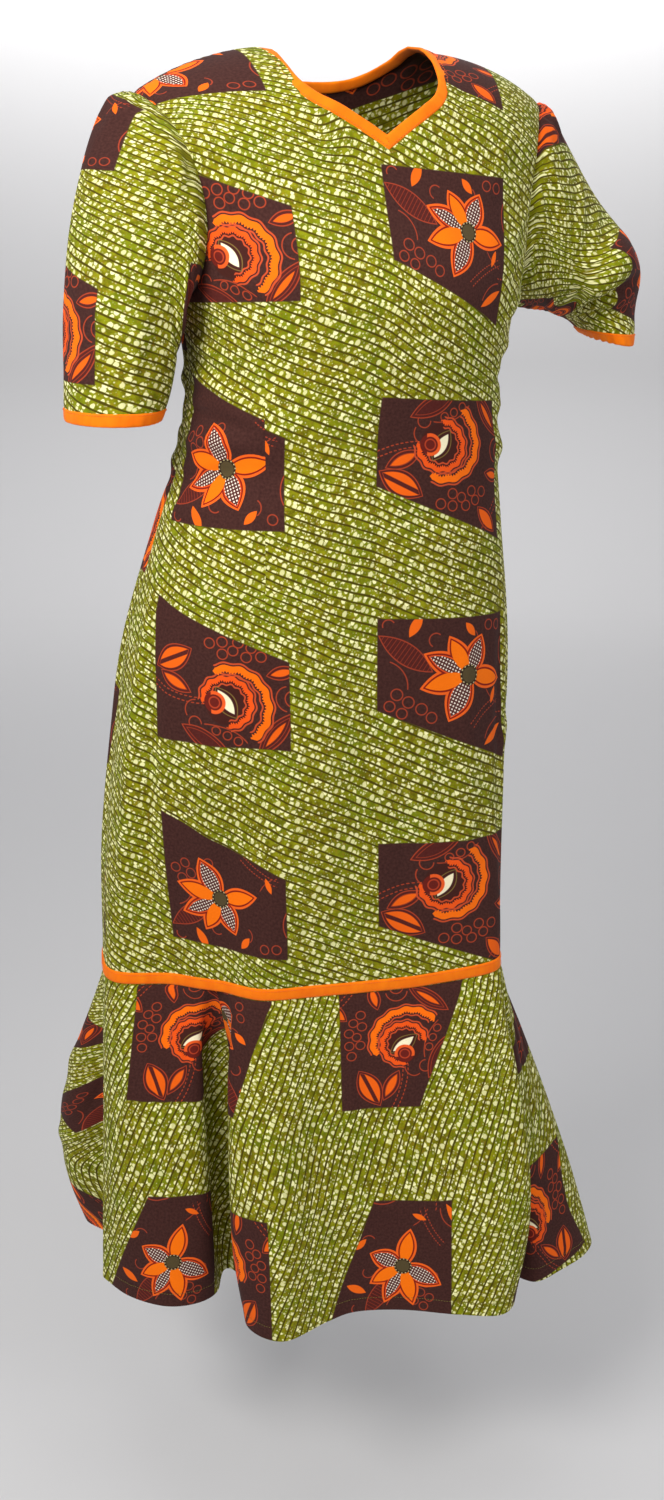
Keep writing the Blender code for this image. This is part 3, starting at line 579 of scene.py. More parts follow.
# %% The whole sleeve
def sleeve(sign, cuff, start, end, folds, creases):
    """The outside, inside and normals of a sleeve, its first column at the underarm."""
    edge, inner = armhole_edge(body(front_angle, front_drop), body(back_angle, back_drop), sign)
    sewn, _ = armhole_edge(front, back, sign)
    edge_normals, _ = armhole_edge(front_normals, back_normals, sign)
    count = len(edge)
    inner[0] = edge[0] + (edge[5] - edge[0]) / 2 + (edge[-5] - edge[0]) / 2
    inner[ARMHOLE_ROWS] = edge[ARMHOLE_ROWS] - (0.0, 0.0, 0.02)
    first = edge + off_edge(edge, inner, edge_normals) * SEAM_GAP * 2
    last = cuff_loop(cuff, sign, count)
    around = 360.0 * np.arange(count) / count
    leaving = np.asarray(start, float)
    leave = smooth_between(leaving[:, 0], leaving[:, 1:], around) * (sign, -1, 1)
    leave = leave + edge_normals * 0.025
    outer_share = (0.5 + 0.5 * np.cos(np.radians(around)))[:, None]
    arrive = np.array(end[0]) * outer_share + np.array(end[1]) * (1 - outer_share)
    w = (np.linspace(0, 1, SLEEVE_ROWS + 1) ** 1.1)[:, None, None]
    grid = hermite(w, first, last, leave, arrive * (sign, -1, 1))
    if sign > 0:
        grid, around = grid[:, ::-1], around[::-1]
        edge_normals, sewn = edge_normals[::-1], sewn[::-1]
    push = np.zeros(grid.shape[:2])
    for fold_angle, fold_along, angle_reach, along_reach, height in folds:
        size = hill(angle_between(around, fold_angle), angle_reach)
        push += height * size * hill(w[:, 0] - fold_along, along_reach)
    push *= np.clip(w[:, 0] * 8, 0, 1) * np.clip((1 - w[:, 0]) * 8, 0, 1)
    grid = grid + normals_of(grid, True) * push[..., None]
    turn = count // 2 if sign < 0 else count // 2 - 1
    grid, around = np.roll(grid, turn, 1), np.roll(around, turn)
    edge_normals, sewn = np.roll(edge_normals, turn, 0), np.roll(sewn, turn, 0)
    closed = np.concatenate([grid, grid[:, :1]], axis=1)
    down, across = grid_lengths(closed)
    girth, down, across = across[:, -1:], down[:, :-1], across[:, :-1]
    travel = angle_between(around, 0.0) * SLEEVE_ANGLE_LENGTH
    rise = np.zeros(grid.shape[:2])
    level = np.broadcast_to(w[:, :, 0] * SLEEVE_LENGTH, rise.shape)
    table = in_metres(creases, SLEEVE_ANGLE_LENGTH, SLEEVE_LENGTH)
    for lap in (-SLEEVE_LAP, 0.0, SLEEVE_LAP):
        rise += strokes(np.broadcast_to(travel + lap, rise.shape), level, table)
    from_cuff = down[-1:] - down
    rise *= ramp(down, 0.0, 0.010) * ramp(from_cuff, 0.0, 0.008)
    rise += seam_dip(down, across, 0.0, 0.0009, 0.003)
    rise += seam_dip(from_cuff, across, 0.0004, 0.0004)
    rise += seam_dip(np.minimum(across, girth - across), down, 0.0010, 0.0004, 0.002)
    normals = normals_of(grid, True)
    outside = grid + rise[..., None] * normals
    outside = outside + (sewn - outside[0])[None] * hill(down, 0.005)[..., None]
    inside = outside - WALL * normals
    inside[0] = outside[0] - WALL * edge_normals
    return outside, inside, normals


# %% The sleeves' creases
# angle round the sleeve from its outer side by the front, share along, then as for the body
RIGHT_SLEEVE_CREASES = (
    (-20, .02, -14, .22, .0045, .0022, .001), (2, .01, 6, .26, .0050, -.0020, .001),
    (18, .02, 24, .20, .0040, .0024, -.001), (40, .02, 50, .24, .0050, -.0018, .002),
    (64, .04, 78, .30, .0060, .0022, .003), (100, .30, 150, .52, .0080, .0030, .004),
    (96, .50, 160, .66, .0070, -.0026, .003), (70, .44, 84, .92, .0090, .0024, .004),
    (30, .48, 36, .90, .0100, -.0018, -.003), (-10, .40, -14, .86, .0110, .0020, .003),
    (-50, .06, -44, .34, .0060, .0020, .002), (-90, .30, -60, .60, .0080, -.0022, .004),
    (-130, .34, -96, .50, .0080, .0028, -.003), (-120, .60, -84, .80, .0080, .0024, .003),
    (176, .30, 140, .40, .0070, .0026, .002), (10, .66, 62, .74, .0080, .0012, .003),
)
LEFT_SLEEVE_CREASES = (
    (60, .03, 84, .34, .0045, .0026, .002), (78, .02, 106, .30, .0045, -.0024, .002),
    (94, .03, 128, .28, .0050, .0026, .002), (116, .04, 150, .22, .0045, -.0022, .001),
    (40, .02, 52, .30, .0050, -.0018, .002), (20, .02, 26, .24, .0050, .0020, .001),
    (-4, .02, 0, .22, .0050, -.0018, .001), (30, .36, 110, .46, .0070, .0026, -.004),
    (20, .52, 100, .56, .0060, -.0030, -.003), (50, .74, 120, .70, .0060, .0026, .003),
    (90, .84, 150, .78, .0050, -.0024, .002), (24, .60, 124, .61, .0170, .0105, -.004),
    (34, .755, 142, .735, .0085, -.0105, .003), (-60, .10, -40, .50, .0070, .0024, .003),
    (-110, .20, -60, .60, .0080, -.0024, .004), (-150, .30, -100, .74, .0080, .0026, -.004),
    (-80, .66, -30, .84, .0080, .0020, .003), (150, .34, 176, .70, .0060, .0026, .002),
)
right_sleeve = sleeve(
    -1, RIGHT_CUFF, RIGHT_START, RIGHT_END, RIGHT_FOLDS, RIGHT_SLEEVE_CREASES
)
left_sleeve = sleeve(
    1, LEFT_CUFF, LEFT_START, LEFT_END, LEFT_FOLDS, LEFT_SLEEVE_CREASES
)
print("sleeve grid:", right_sleeve[0].shape)

# %% [markdown]
# ## The flounce
#
# The flounce is cut wider at the hem than at the band, so its hem is longer than the line that it
# hangs from, and the extra length stands in deep flutes. One flute at the front laps over its
# neighbour, and a second one near the left side is nearly as deep. The hem table gives the path of
# the lower edge through every flute in turn, and each column is a slightly bellied line from the
# band down to it. Short tables then press the valleys between the flutes deeper.

# %% Flounce form
# the length of its creases, and metres round the band for each degree
FLOUNCE_LENGTH, FLOUNCE_ANGLE_LENGTH = 0.354, 0.7 / 180
HEM_TURN = 0.015
FINE_STEPS = 2400


def flounce_row(table, columns):
    """The rows of the hem table at even steps of hem length, mixed with steps of seam angle."""
    rows = np.arange(len(table))
    fine = smooth_between(rows, table, np.linspace(0, len(table) - 1, FINE_STEPS))
    share = 0.7 * along(fine[:, 1:3]) + 0.3 * along(fine[:, :1])
    return read_table(columns, share, fine)


def flounce(table, creases, valleys):
    """The outside and inside of half the flounce, and its hem row's seam angles."""
    columns = np.linspace(0, 1, FLOUNCE_COLUMNS + 1)
    hem = flounce_row(table, columns)
    angle, x, y, swell, fall, onset = hem.T
    top = body(angle, BAND_DROP + BAND_WIDTH + 2 * SEAM_GAP)
    bottom = np.stack([x, y, -HEM_DROP - fall], -1)
    out = unit(np.stack([np.gradient(y), -np.gradient(x), np.zeros(len(x))], -1))
    w = np.linspace(0, 1, FLOUNCE_ROWS + 1)[:, None]
    spread = (w ** onset[None])[..., None]
    grid = top * (1 - spread) + bottom * spread
    grid[..., 2] = top[:, 2] * (1 - w) + bottom[:, 2] * w
    grid = grid + (swell * np.sin(np.pi * w**1.35))[..., None] * out
    down, across = grid_lengths(grid)
    level = np.broadcast_to(w * FLOUNCE_LENGTH, down.shape)
    place = np.broadcast_to((angle - angle[0])[None] * FLOUNCE_ANGLE_LENGTH, down.shape)
    table = in_metres(creases, FLOUNCE_ANGLE_LENGTH, FLOUNCE_LENGTH, -90.0)
    rise = strokes(place, level, table)
    for valley_angle, reach, height, low, high in valleys:
        valley = height * hill(angle[None] - valley_angle, reach)
        rise += valley * ramp(w, low, low + 0.25) * ramp(1 - w, high, high + 0.3)
    rise *= ramp(down, 0.0, 0.010) * ramp(down[-1:] - down, -0.01, 0.008)
    rise *= ramp(across, 0.0, 0.01) * ramp(across[:, -1:] - across, 0.0, 0.01)
    rise += seam_dip(down, across, 0.0008, 0.0006)
    rise += seam_dip(across, down) + seam_dip(across[:, -1:] - across, down + 0.4)
    from_hem = down[-1:] - down
    stitched = from_hem - HEM_TURN
    rise += -0.0004 * hill(stitched, 0.002) + 0.0003 * np.sin(across * 420) * hill(stitched, 0.004)
    normals = normals_of(grid, False)
    outside = grid + rise[..., None] * normals
    # The turned hem is two layers thick
    wall = WALL * (1.0 + 0.9 * ramp(-from_hem, -0.016, -0.0135))
    return outside, outside - wall[..., None] * normals, angle


# %% The flounce's creases and valleys
# angle past the half's first side seam less 90, share down, then as for the body
FLOUNCE_FRONT_CREASES = (
    (-70, .04, -74, .50, .0070, .0016, .003), (-58, .10, -62, .80, .0060, -.0016, -.003),
    (-50, .02, -46, .36, .0050, .0016, .002), (-20, .02, -16, .40, .0050, .0016, .002),
    (-4, .03, -2, .60, .0070, -.0014, .003), (8, .20, 6, .92, .0090, .0020, -.004),
    (22, .02, 24, .46, .0060, .0014, .003), (32, .14, 30, .90, .0080, -.0016, .004),
    (42, .03, 48, .40, .0060, .0018, -.002), (68, .06, 70, .60, .0060, -.0016, .003),
    (78, .10, 80, .80, .0060, .0018, .003), (-10, .62, 20, .70, .0100, .0012, .005),
    (-76, .66, -44, .60, .0090, .0012, -.004), (-60, .46, -38, .50, .0080, .0014, .003),
)
FLOUNCE_BACK_CREASES = (
    (-76, .04, -72, .60, .0070, .0016, .003), (-56, .06, -58, .70, .0060, -.0016, .003),
    (-40, .03, -44, .50, .0060, .0018, -.003), (-20, .10, -18, .80, .0080, .0016, .004),
    (0, .02, 2, .54, .0060, -.0016, .003), (14, .08, 18, .76, .0080, .0018, -.003),
    (34, .03, 32, .60, .0060, .0018, .003), (52, .10, 56, .80, .0080, -.0016, .004),
    (66, .30, 52, .52, .0090, .0026, .004), (74, .40, 60, .66, .0080, -.0022, .003),
    (70, .60, 50, .78, .0090, .0022, -.004), (80, .06, 76, .40, .0060, .0016, .002),
)
# seam angle, reach in degrees, height, share down where it starts, share from the hem where it ends
FRONT_VALLEYS = (
    (-33.0, 3.6, -0.017, 0.00, -0.10), (-24.0, 3.0, 0.007, 0.02, -0.05),
    (-44.0, 5.0, 0.003, 0.05, 0.0), (59.5, 3.0, -0.012, 0.05, -0.10), (53.0, 3.0, 0.004, 0.05, 0.0),
)
# seam angle, height
BACK_VALLEYS = tuple((angle, 4.0, height, 0.05, 0.0) for angle, height in (
    (107.0, -0.006), (143.0, -0.010), (180.0, -0.010), (216.0, -0.010), (258.0, -0.008),
    (134.0, 0.003), (171.0, 0.003), (207.0, 0.003),
))
flounce_front, flounce_front_inside, front_hem_angle = flounce(
    FRONT_HEM, FLOUNCE_FRONT_CREASES, FRONT_VALLEYS
)
flounce_back, flounce_back_inside, _ = flounce(BACK_HEM, FLOUNCE_BACK_CREASES, BACK_VALLEYS)
print("flounce grids:", flounce_front.shape, flounce_back.shape)

# %% [markdown]
# ## Where the print lies on each piece
#
# A print belongs to the flat cloth, so every corner of the mesh needs its place on the cloth in
# metres: P across the roll and Q down it. On the body P is the length round the section and Q the
# length down. Darts and curves shift the cloth, so measured tables correct both. The sleeves are
# cut with the cloth straight down the arm. The flounce is cut with the cloth turned a quarter, so
# its stripes stand steeply and its flowers lie on their sides. Where a dart or a deep fold hides
# some cloth, the print jumps by the width that is hidden.

# %% Cloth coordinates of the body
# drop, the arc length at which a column of flower patches starts, patch width on the front
PATCH_LINE = np.array((
    (0.000, -0.0090, 0.118), (0.094, -0.0086, 0.120), (0.161, -0.0074, 0.114),
    (0.220, -0.0090, 0.110), (0.277, -0.0117, 0.128), (0.355, -0.0023, 0.142),
    (0.462, 0.0168, 0.150), (0.546, 0.0293, 0.151), (0.678, 0.0481, 0.154),
    (0.771, 0.0574, 0.152), (0.860, 0.0630, 0.150),
))
CLOTH_DROP = np.array((
    (0.000, -0.100), (0.094, 0.000), (0.277, 0.195), (0.470, 0.390), (0.692, 0.585), (0.860, 0.735),
))


ARC_HALF, STEPS_PER_DEGREE = 110, 2
FIRST_RING, LAST_RING, RING_STEP = 0.09, 0.86, 0.01


def arc_from(angle, drop, middle):
    """Signed length round the body from the middle angle, at each drop."""
    steps, rings = 2 * ARC_HALF * STEPS_PER_DEGREE, round((LAST_RING - FIRST_RING) / RING_STEP)
    angles = np.linspace(middle - ARC_HALF, middle + ARC_HALF, steps + 1)
    drops = np.linspace(FIRST_RING, LAST_RING, rings + 1)
    _, arc = grid_lengths(body(angles[None], drops[:, None]))
    arc -= arc[:, steps // 2 : steps // 2 + 1]
    d = np.clip((np.maximum(drop, FIRST_RING) - FIRST_RING) / RING_STEP, 0, rings - 0.001)
    a = np.clip((angle - middle + ARC_HALF) * STEPS_PER_DEGREE, 0, steps - 0.001)
    i, j = d.astype(int), a.astype(int)
    u, v = d - i, a - j
    low = arc[i, j] * (1 - v) + arc[i, j + 1] * v
    return low * (1 - u) + (arc[i + 1, j] * (1 - v) + arc[i + 1, j + 1] * v) * u


def corners(values):
    """The values at each face's four corners, from those at the points of a grid."""
    return np.stack([values[:-1, :-1], values[1:, :-1], values[1:, 1:], values[:-1, 1:]], axis=2)


def corner_uv(p, q):
    return corners(np.stack([p, q], -1))


def bent(value, soft):
    """Close to the value where it is above 0 and to 0 below, with a soft bend between."""
    return 0.5 * (value + np.sqrt(value**2 + soft**2) - soft)


# %% Where the body's print lies
PATCH_WIDTH = 0.126
SHOULDER_EXTRA = 0.050
RIGHT_TILT = 0.088
# drop, how much the cloth falls for each metre towards the wearer's right
LEFT_TILT = np.array(((0.10, -0.05), (0.16, -0.05), (0.40, 0.02), (0.80, 0.09)))
DART_INTAKE, BACK_DART_INTAKE = 0.020, 0.018
BACK_SHIFT = (0.095, 0.060)

line = smooth_between(PATCH_LINE[:, 0], PATCH_LINE[:, 1:], front_drop)
arc_place = arc_from(front_angle, front_drop, 0.0) - line[..., 0]
front_p = arc_place + (PATCH_WIDTH / line[..., 1] - 1) * bent(arc_place, 0.008)
front_p += 0.010 * ramp(front_drop, 0.55, 0.74) * hill(arc_place + 0.100, 0.050)
# Over the shoulder the cloth is longer than its drop, and it hangs a little off its grain
front_q = smooth_between(CLOTH_DROP[:, 0], CLOTH_DROP[:, 1], front_drop)
below = front_drop - shoulder_line(body(front_angle, front_drop)[..., 0])
front_q -= SHOULDER_EXTRA * (1 - np.clip(below / FRONT_ROLL, 0, 1)) ** 2
tilt = np.interp(front_drop, LEFT_TILT[:, 0], LEFT_TILT[:, 1])
tilt = tilt + (RIGHT_TILT - tilt) * ramp(arc_place, -0.05, 0.03)
front_q -= tilt * (arc_place + np.clip(-arc_place, 0.0, 0.02))
# In two places on the wearer's right the print stands a little lower than that gives
front_q -= 0.007 * hill(front_drop - 0.42, 0.11) * ramp(-arc_place, 0.0, 0.05)
above_bust = ramp(0.11 - front_drop, 0.0, 0.05) * ramp(-arc_place, 0.02, 0.05)
front_q -= 0.17 * np.clip(arc_place + 0.15, 0, 0.1) * above_bust
column = np.arange(front_p.shape[1] - 1)[None, :, None]
front_uv = corner_uv(front_p, front_q)
taken = DART_INTAKE * dart_pull(front_drop, RIGHT_DART)
front_uv[..., 0] -= corners(taken) * (column < right_dart_column)

back_p = arc_from(back_angle, back_drop, 180.0) + BACK_SHIFT[0]
back_uv = corner_uv(back_p, back_drop + BACK_SHIFT[1])
for dart, dart_column, way in zip(BACK_DARTS, back_dart_columns, (-1, 1)):
    past = column < dart_column if way < 0 else column >= dart_column
    back_uv[..., 0] += corners(BACK_DART_INTAKE * way * dart_pull(back_drop, dart)) * past
print("front cloth from", front_uv.min((0, 1, 2)).round(3), "to", front_uv.max((0, 1, 2)).round(3))

# %% Cloth coordinates of the sleeves
# The place on the cloth of the outer side's middle, half way down the arm
RIGHT_SLEEVE_PLACE = (-0.115, -0.010)
LEFT_SLEEVE_PLACE = (0.090, -0.020)
# How much wider the right sleeve's print lies past its middle column, and closer above it
RIGHT_SLACK = 0.28


def sleeve_uv(outside, place, slack):
    closed = np.concatenate([outside, outside[:, :1]], axis=1)
    down, across = grid_lengths(closed)
    half = outside.shape[1] // 2
    p = across - across[:, half : half + 1]
    q = down + down[-1, half] / 2 - down[-1:]
    p = p - slack * bent(p, 0.02) + place[0]
    q = q - slack * 1.5 * bent(-q, 0.02) + place[1]
    return corner_uv(p, q)


right_sleeve_uv = sleeve_uv(right_sleeve[0], RIGHT_SLEEVE_PLACE, RIGHT_SLACK)
left_sleeve_uv = sleeve_uv(left_sleeve[0], LEFT_SLEEVE_PLACE, 0.0)

# %% Cloth coordinates of the flounce
# length down from the band, place across the roll
FLOUNCE_ACROSS = np.array((
    (0.000, 0.127), (0.0065, 0.120), (0.123, 0.000), (0.226, -0.080),
    (0.345, -0.196), (0.380, -0.230),
))
# The print is held at one column, and jumps at the two deep folds
HELD_ANGLE, FOLD_ANGLE, SECOND_FOLD_ANGLE = 4.0, -30.5, 60.0
HIDDEN_IN_SECOND_FOLD = 0.046
BACK_FLOUNCE_SCALE = 0.954
BACK_FLOUNCE_PLACE = (0.085, 0.045)


def front_flounce_uv(outside, hem_angle):
    down, across = grid_lengths(outside)
    held, fold, second = (
        int(np.argmin(np.abs(hem_angle - angle)))
        for angle in (HELD_ANGLE, FOLD_ANGLE, SECOND_FOLD_ANGLE)
    )
    p = smooth_between(FLOUNCE_ACROSS[:, 0], FLOUNCE_ACROSS[:, 1], down)
    share = np.linspace(0, 1, outside.shape[0])[:, None]
    middle = corner_uv(p, across - across[:, held : held + 1] + 0.186 + 0.015 * share)
    side = corner_uv(p, across - 0.249 + 0.019 * share)
    column = np.arange(outside.shape[1] - 1)[None, :, None, None]
    jump = (column >= second) * np.array((0.0, HIDDEN_IN_SECOND_FOLD))
    return np.where(column < fold, side, middle) - jump


flounce_front_uv = front_flounce_uv(flounce_front, front_hem_angle)
down, across = grid_lengths(flounce_back)
flounce_back_uv = corner_uv(
    PATCH_WIDTH - BACK_FLOUNCE_SCALE * (down - BACK_FLOUNCE_PLACE[0]), across + BACK_FLOUNCE_PLACE[1]
)
low, high = flounce_front_uv.min((0, 1, 2)), flounce_front_uv.max((0, 1, 2))
print("flounce cloth from", low.round(3), "to", high.round(3))

# %% [markdown]
# ## Making the cloth pieces
#
# Cloth has two sides and an edge, so each piece is a closed shell about a millimetre thick. Both
# sides carry the print, as a wax print does.

# %% A shell of cloth from two grids
def add_shell(name, outside, inside, uv, wrap=False):
    """A closed shell with a rim. A grid that wraps has no rim along its columns."""
    rows, columns = outside.shape[:2]
    points = np.concatenate([outside.reshape(-1, 3), inside.reshape(-1, 3)])
    layer = rows * columns
    across = np.arange(columns if wrap else columns - 1)
    i, j = np.meshgrid(np.arange(rows - 1) * columns, across, indexing="ij")
    k = (j + 1) % columns
    outer = np.stack([i + j, i + columns + j, i + columns + k, i + k], -1)
    inner = outer[..., (0, 3, 2, 1)] + layer
    faces = [outer.reshape(-1, 4), inner.reshape(-1, 4)]
    uvs = [uv.reshape(-1, 2), uv[:, :, (0, 3, 2, 1)].reshape(-1, 2)]

    def rim(first, second, uv_first, uv_second):
        faces.append(np.stack([first, second, second + layer, first + layer], -1))
        uvs.append(np.stack([uv_first, uv_second, uv_second, uv_first], 1).reshape(-1, 2))

    rim(outer[0, :, 0], outer[0, :, 3], uv[0, :, 0], uv[0, :, 3])
    rim(outer[-1, :, 2], outer[-1, :, 1], uv[-1, :, 2], uv[-1, :, 1])
    if not wrap:
        rim(outer[:, 0, 1], outer[:, 0, 0], uv[:, 0, 1], uv[:, 0, 0])
        rim(outer[:, -1, 3], outer[:, -1, 2], uv[:, -1, 3], uv[:, -1, 2])
    return add_mesh(name, points, np.concatenate(faces), np.concatenate(uvs))


def add_mesh(name, points, faces, uvs=None, sharp=50.0):
    mesh = bpy.data.meshes.new(name)
    mesh.vertices.add(len(points))
    mesh.vertices.foreach_set("co", np.asarray(points, np.float32).ravel())
    faces = np.asarray(faces)
    size = faces.shape[1]
    mesh.loops.add(faces.size)
    mesh.loops.foreach_set("vertex_index", faces.ravel().astype(np.int32))
    mesh.polygons.add(len(faces))
    mesh.polygons.foreach_set("loop_start", np.arange(0, faces.size, size, dtype=np.int32))
    if uvs is not None:
        layer = mesh.uv_layers.new(name="cut")
        layer.data.foreach_set("uv", np.asarray(uvs, np.float32).ravel())
    mesh.update(calc_edges=True)
    mesh.validate()
    mesh.polygons.foreach_set("use_smooth", np.ones(len(mesh.polygons), bool))
    mesh.set_sharp_from_angle(angle=math.radians(sharp))
    thing = bpy.data.objects.new(name, mesh)
    bpy.context.scene.collection.objects.link(thing)
    return thing


cloth = {
    "front_body": add_shell("front_body_cloth", front, front_inside, front_uv),
    "back_body": add_shell("back_body_cloth", back, back_inside, back_uv),
    "sleeve_right": add_shell("sleeve_right_cloth", *right_sleeve[:2], right_sleeve_uv, wrap=True),
    "sleeve_left": add_shell("sleeve_left_cloth", *left_sleeve[:2], left_sleeve_uv, wrap=True),
    "flounce_front": add_shell(
        "flounce_front_cloth", flounce_front, flounce_front_inside, flounce_front_uv
    ),
    "flounce_back": add_shell(
        "flounce_back_cloth", flounce_back, flounce_back_inside, flounce_back_uv
    ),
}
print({name: len(thing.data.polygons) for name, thing in cloth.items()})

# %% [markdown]
# ## Bindings and the band
#
# A binding is a strip of plain cotton folded over a raw edge, so it is a little thicker than the
# cloth and round at its outer edge. It is made by carrying a rounded flat section along the edge.
# Its fullness changes slightly from place to place, because hand-fed cotton is never even.

# %% Strips along an edge
STRIP_POINTS = 16
STRIP_THICK, STRIP_GIRTH, STRIP_WOBBLE = 0.0030, 0.022, 0.0002


def rolled_strip(name, edge, normals, way, low, high):
    """A closed strip whose section is a rounded flat one, from low to high along way."""
    travel = travelled(np.concatenate([edge, edge[:1]]))
    travel, ends = travel[:-1], travel[1:]
    t = 2 * np.pi * np.arange(STRIP_POINTS) / STRIP_POINTS
    along_way = np.sign(np.cos(t)) * np.abs(np.cos(t)) ** 0.55 * (high - low) / 2 + (high + low) / 2
    off = np.sign(np.sin(t)) * np.abs(np.sin(t)) ** 0.75 * STRIP_THICK / 2
    full = 1 + 0.22 * np.sin(travel * 170 + 2 * np.sin(travel * 41))[:, None]
    shift = STRIP_WOBBLE * np.sin(travel * 61 + 1.5 * np.sin(travel * 19))[:, None]
    ring = edge[:, None] + way[:, None] * (along_way[None] + shift)[..., None]
    ring = ring + normals[:, None] * (off[None] * full - WALL / 2)[..., None]
    i, j = np.meshgrid(np.arange(len(edge)), np.arange(STRIP_POINTS), indexing="ij")
    a, b = (i + 1) % len(edge) * STRIP_POINTS, (j + 1) % STRIP_POINTS
    faces = np.stack([i * STRIP_POINTS + j, a + j, a + b, i * STRIP_POINTS + b], -1)
    u0, u1 = travel[i], ends[i]
    v0, v1 = j / STRIP_POINTS * STRIP_GIRTH, (j + 1) / STRIP_POINTS * STRIP_GIRTH
    corner_places = ((u0, v0), (u1, v0), (u1, v1), (u0, v1))
    uv = np.stack([np.stack(place, -1) for place in corner_places], 2)
    facing = np.cross(ring[1, 0] - ring[0, 0], ring[0, 1] - ring[0, 0])
    if np.dot(facing, ring[0, 0] - ring[0].mean(0)) < 0:
        faces, uv = faces[..., ::-1], uv[:, :, ::-1]
    return add_mesh(name, ring.reshape(-1, 3), faces.reshape(-1, 4), uv.reshape(-1, 2), 70)


# %% The bindings and the band
RAW_EDGE = -0.0012
BAND_LAP_ABOVE, BAND_LAP_BELOW = 0.0008, 0.0012
quarter = BODY_COLUMNS // 4
span = slice(quarter, 3 * quarter + 1)


def neck_row(first, second):
    return np.concatenate([first[span], second[span][1:-1]])


# The neck's binding leads from the edge towards the middle of the opening
neck_line = neck_row(front[0], back[0])
neck_normals = neck_row(front_normals[0], back_normals[0])
neck_way = off_edge(neck_line, 2 * neck_line - neck_line.mean(0), neck_normals)
neck_strip = (neck_line, neck_normals, neck_way)
trim = {
    "neck_binding": rolled_strip(
        "neck_binding_trim", *neck_strip, RAW_EDGE, SEAM_GAP + NECK_BINDING_WIDTH
    )
}
cuff_rows = {}
for side, (outside, _, normals) in (("right", right_sleeve), ("left", left_sleeve)):
    cuff_rows[side] = (outside[-1], normals[-1], unit(outside[-1] - outside[-4]))
    trim["cuff_binding_" + side] = rolled_strip(
        f"cuff_binding_{side}_trim", *cuff_rows[side], RAW_EDGE, SEAM_GAP + CUFF_BINDING_WIDTH
    )
band_angle = np.linspace(-90.0, 270.0, 4 * BODY_COLUMNS + 1)[:-1]
band_top = body(band_angle, BAND_DROP)
band_low = body(band_angle, BAND_DROP + BAND_WIDTH)
band_normals = body_normals(band_angle, BAND_DROP + BAND_WIDTH / 2)
band_way = unit(band_low - band_top)
trim["seam_band"] = rolled_strip(
    "seam_band_trim", band_top, band_normals, band_way,
    -BAND_LAP_ABOVE, BAND_WIDTH + BAND_LAP_BELOW,
)
print({name: len(thing.data.polygons) for name, thing in trim.items()})

# %% [markdown]
# ## Stitching
#
# Machine stitches hold the bindings and the band at their edges, and one row holds the hem. Each
# stitch is a short spindle of thread that dips at both ends, and all the stitches of a row are
# one mesh. They are small, but they catch light along the edges, as the real ones do.

# %% Rows of stitches
STITCH_PITCH, STITCH_LENGTH, STITCH_THICK, STITCH_SIDES = 0.0028, 0.0021, 0.00042, 5
ON_STRIP, ON_CLOTH = 0.0009, 0.0001
# share of the length from the middle, share of the thickness, lift in thicknesses
SPINDLE = ((-1 / 2, 0.35, -0.3), (-1 / 5, 1.0, 0.45), (1 / 5, 1.0, 0.45), (1 / 2, 0.35, -0.3))


def stitch_row(name, rows):
    """Stitches along rows of (points, normals). A closed row ends on its first point."""
    t = 2 * np.pi * np.arange(STITCH_SIDES) / STITCH_SIDES
    r, s = np.meshgrid(np.arange(3) * STITCH_SIDES, np.arange(STITCH_SIDES), indexing="ij")
    n, up_one = (s + 1) % STITCH_SIDES, r + STITCH_SIDES
    quad = np.stack([r + s, r + n, up_one + n, up_one + s], -1).reshape(1, -1, 4)
    vertices, faces = [], []
    for points, normals in rows:
        travel = travelled(points)
        count = int(travel[-1] / STITCH_PITCH)
        centre = (np.arange(count) + 0.5) * travel[-1] / count
        spots = [
            read_table(centre + STITCH_LENGTH * share, travel, points) for share, _, _ in SPINDLE
        ]
        up = unit(read_table(centre, travel, normals))
        side = unit(np.cross(up, spots[3] - spots[0]))
        stack = []
        for spot, (_, size, lift) in zip(spots, SPINDLE):
            rise, turn = lift + np.sin(t) * size / 2, np.cos(t) * size / 2
            ring = spot[:, None] + up[:, None] * (rise * STITCH_THICK)[None, :, None]
            stack.append(ring + side[:, None] * (turn * STITCH_THICK)[None, :, None])
        start = sum(len(block) for block in vertices)
        start = start + np.arange(count)[:, None, None] * len(SPINDLE) * STITCH_SIDES
        vertices.append(np.stack(stack, 1).reshape(-1, 3))
        faces.append((quad + start).reshape(-1, 4))
    return add_mesh(name, np.concatenate(vertices), np.concatenate(faces), None, 180)


# %% The rows of the trim and the hem
def ring_row(line, normals, way, inset):
    """A closed row of stitches on top of a strip, at a distance from its edge."""
    spots = line + way * inset + normals * ON_STRIP
    return tuple(np.concatenate([values, values[:1]]) for values in (spots, normals))


stitch_rows = [ring_row(*row, 0.0006) for row in (neck_strip, *cuff_rows.values())]
for inset in (0.0012, BAND_WIDTH - 0.0010):
    stitch_rows.append(ring_row(band_top, band_normals, band_way, inset))
trim_stitches = stitch_row("trim_stitches", stitch_rows)

hem_rows = []
for grid in (flounce_front, flounce_back):
    down, _ = grid_lengths(grid)
    row = int(np.argmin(np.abs((down[-1:] - down).mean(1) - HEM_TURN)))
    normals = normals_of(grid, False)[row]
    hem_rows.append((grid[row] + normals * ON_CLOTH, normals))
hem_stitches = stitch_row("hem_stitches", hem_rows)
print("stitches:", len(trim_stitches.data.polygons) // 15, len(hem_stitches.data.polygons) // 15)

# %% [markdown]
# ## Drawing with numbers
#
# A wax print is drawn from flat shapes with crisp edges, so distance formulas can draw it. Each
# formula gives a distance in millimetres from an edge or a line, and a threshold turns that into
# ink. Nothing is copied from a picture, so the print stays sharp at any size. The helper below
# lets Python's own operators add the math nodes.

